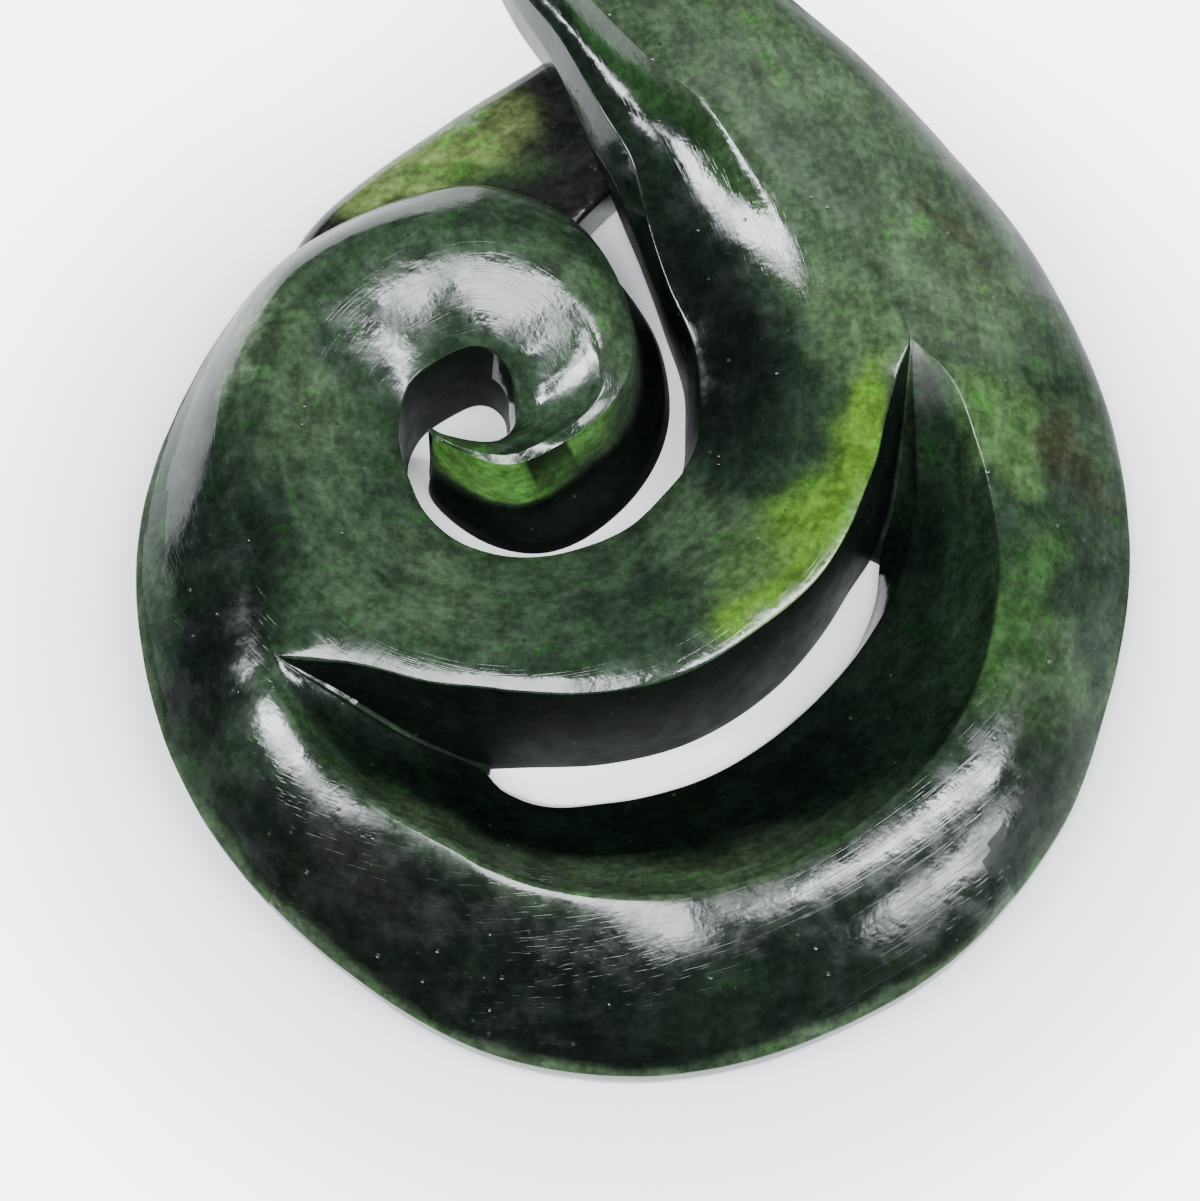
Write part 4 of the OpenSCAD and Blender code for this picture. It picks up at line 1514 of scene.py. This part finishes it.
    def relief_of(self, paint: Painter, plan: object, grain: object, pits: object) -> object:
        """Adds fine scratches along the strands, an uneven polish and small pits.

        Args:
            paint: What makes the nodes.
            plan: Place in the stone, in millimetres.
            grain: Distance along the strand, across it and up.
            pits: Where the pits are.

        Returns:
            The normal.
        """
        lines = paint.vector("MULTIPLY", grain, self.scratch_scale).outputs[0]
        scratches = paint.ramp(paint.noise(lines, self.scratches).outputs[0], self.scratch_h)
        polish = paint.noise(plan, self.polish).outputs[0]
        height = paint.math("ADD", scratches, paint.math("MULTIPLY", polish, self.polish_h))
        depth = paint.math("MULTIPLY", pits, self.pit_depth)
        bump = {"Strength": 1.0, "Distance": self.relief,
                "Height": paint.math("SUBTRACT", height, depth)}
        return paint.node("ShaderNodeBump", bump).outputs[0]


FINISHES = {
    Surface.POLISHED: Greenstone(),
    Surface.WORN: Greenstone("worn_greenstone", polished=0.24, gleam=0.2),
    Surface.CUT: Greenstone("cut_greenstone", polished=0.5, satin=0.5, gleam=0.05),
}


class Glow(Enum):
    """How bright a lamp looks in a reflection, against the pale floor."""

    SOFT = 9.0
    CLEAR = 22.0
    STRONG = 38.0


@dataclass(frozen=True)
class Lamp:
    """A flat soft lamp, placed by the direction in which the pendant sees it.

    Attributes:
        name: Name of the lamp.
        across: Lowest and highest angle from straight up towards the right, in degrees.
        along: Lowest and highest angle from straight up away from the viewer, in degrees.
        glow: How bright it is.
        tone: Its colour.
    """

    name: str
    across: tuple[float, float]
    along: tuple[float, float]
    glow: Glow
    tone: tuple[float, float, float] = (0.93, 0.97, 1.0)

    def build(self, target: Vector, reach: float) -> None:
        """Makes the lamp.

        Args:
            target: What it looks at.
            reach: Its distance from there, in metres.
        """
        mid = (sum(self.across) / 2, sum(self.along) / 2)
        lean = math.radians(math.hypot(*mid))
        turn = math.atan2(mid[1], mid[0])
        place = Vector((math.sin(lean) * math.cos(turn), math.sin(lean) * math.sin(turn),
                        math.cos(lean)))
        half = [math.radians(side[1] - side[0]) / 2 for side in (self.across, self.along)]
        data = bpy.data.lights.new(self.name, "AREA")
        data.shape = "RECTANGLE"
        data.size = 2 * reach * math.tan(half[0])
        data.size_y = 2 * reach * math.tan(half[1])
        data.color = self.tone
        data.energy = self.glow.value * math.pi * data.size * data.size_y
        lamp = linked(self.name, data)
        lamp.location = target + place * reach
        right = Vector((1, 0, 0)) - place * place.x
        right.normalize()
        up = place.cross(right)
        lamp.rotation_euler = Matrix((right, up, place)).transposed().to_euler()


LAMPS = (
    Lamp("overhead", (-20, 5), (-30, -6), Glow.CLEAR),
    Lamp("strip_right", (13, 60), (-14, -7), Glow.STRONG),
    Lamp("strip_right_near", (44, 72), (-35, -27), Glow.CLEAR),
    Lamp("box_left", (-55, -39), (-12, 1), Glow.STRONG),
    Lamp("box_left_near", (-42, -30), (-20, -15), Glow.CLEAR),
)


@dataclass
class Studio:
    """The floor, the lamps and the camera.

    Attributes:
        tilt_deg: Angle of the view from straight down.
        distance: Distance of the camera from what it looks at, in millimetres.
        disc_px: Width of the disc in the photograph, in pixels.
        disc_mm: Width of the disc.
        image_px: Width of the photograph.
        aim: What the camera looks at, as drawn.
        sensor: Width of the camera's sensor.
        lamp_aim: What the lamps look at, as drawn.
        lamp_reach: Distance of the lamps from there, in metres.
        room: How bright the room around is.
        room_tint: Its colour.
        floor_half: Half width of the floor, in metres.
        paper: Colour of the floor.
        paper_rough: Its roughness.
        disc_at: Middle of the disc, in metres.
        paper_glow: Light that the floor adds for the eye, by the distance from there.
    """

    tilt_deg: float = 22.0
    distance: float = 200.0
    disc_px: float = 994.0
    disc_mm: float = 42.0
    image_px: float = 1200.0
    aim: tuple[float, float, float] = (-1.479, 0.0, 3.0)
    sensor: float = 36.0
    lamp_aim: tuple[float, float, float] = (0.0, 0.0, 4.0)
    lamp_reach: float = 0.6
    room: float = 0.06
    room_tint: tuple[float, float, float, float] = (0.92, 0.96, 1.0, 1.0)
    floor_half: float = 0.6
    paper: tuple[float, float, float, float] = (0.9, 0.9, 0.9, 1.0)
    paper_rough: float = 0.7
    disc_at: tuple[float, float, float] = (0.0, -0.0113, 0.0)
    paper_glow: Sweep = Sweep(0.018, 0.036, 0.0, 3.5)

    def camera(self, stone: CarvedStone) -> None:
        """Makes the camera at the photograph's viewing angle.

        Args:
            stone: The pendant, whose drawing says what the camera looks at.
        """
        tilt = math.radians(self.tilt_deg)
        forward = Vector((0, math.sin(tilt), -math.cos(tilt)))
        data = bpy.data.cameras.new("camera")
        data.sensor_fit = "HORIZONTAL"
        data.sensor_width = self.sensor
        data.lens = self.sensor * self.disc_px / self.disc_mm * self.distance / self.image_px
        data.clip_start = MM
        camera = linked("camera", data)
        camera.location = Vector(stone.to_frame(self.aim)) - forward * self.distance * MM
        camera.rotation_euler = forward.to_track_quat("-Z", "Y").to_euler()
        bpy.context.scene.camera = camera

    def floor(self) -> None:
        """Makes the pale surface that the pendant lies on."""
        half = self.floor_half
        mesh = bpy.data.meshes.new("floor")
        corners = [(-half, -half, 0), (half, -half, 0), (half, half, 0), (-half, half, 0)]
        mesh.from_pydata(corners, [], [(0, 1, 2, 3)])
        material = bpy.data.materials.new("paper")
        material.use_nodes = True
        shader = material.node_tree.nodes["Principled BSDF"]
        paint = Painter(material.node_tree)
        paint.put(shader, "Base Color", self.paper)
        paint.put(shader, "Roughness", self.paper_rough)
        paint.put(shader, "Emission Color", (1.0, 1.0, 1.0, 1.0))
        # Painted light: the floor glows for the camera alone, more with distance from the disc.
        # This leaves a painted shade on the floor near and under the pendant.
        place = paint.node("ShaderNodeTexCoord").outputs["Object"]
        from_disc = paint.vector("DISTANCE", place, self.disc_at).outputs["Value"]
        seen = paint.node("ShaderNodeLightPath").outputs["Is Camera Ray"]
        glow = paint.math("MULTIPLY", paint.ramp(from_disc, self.paper_glow), seen)
        paint.put(shader, "Emission Strength", glow)
        mesh.materials.append(material)
        linked("floor", mesh)

    def build(self, stone: CarvedStone) -> None:
        """Makes the whole studio.

        Args:
            stone: The pendant that it is made for.
        """
        self.camera(stone)
        self.floor()
        world = bpy.data.worlds.new("room")
        world.use_nodes = True
        background = world.node_tree.nodes["Background"]
        background.inputs["Color"].default_value = self.room_tint
        background.inputs["Strength"].default_value = self.room
        bpy.context.scene.world = world
        target = Vector(stone.to_frame(self.lamp_aim))
        for lamp in LAMPS:
            lamp.build(target, self.lamp_reach)


def main() -> None:
    """Builds the pendant and its studio."""
    logging.basicConfig(level=logging.INFO, format="%(name)s: %(message)s")
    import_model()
    stone = CarvedStone()
    pendant = stone.build()
    pendant.data.materials.clear()
    clouds = Clouds()
    clouds.soften(pendant)
    clouds.paint(pendant)
    for surface in Surface:
        pendant.data.materials.append(FINISHES[surface].build())
    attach(pendant, "root")
    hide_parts("carved_stone")
    LOG.info("%s: %d faces", pendant.name, len(pendant.data.polygons))
    Studio().build(stone)


if __name__ == "__main__":
    main()
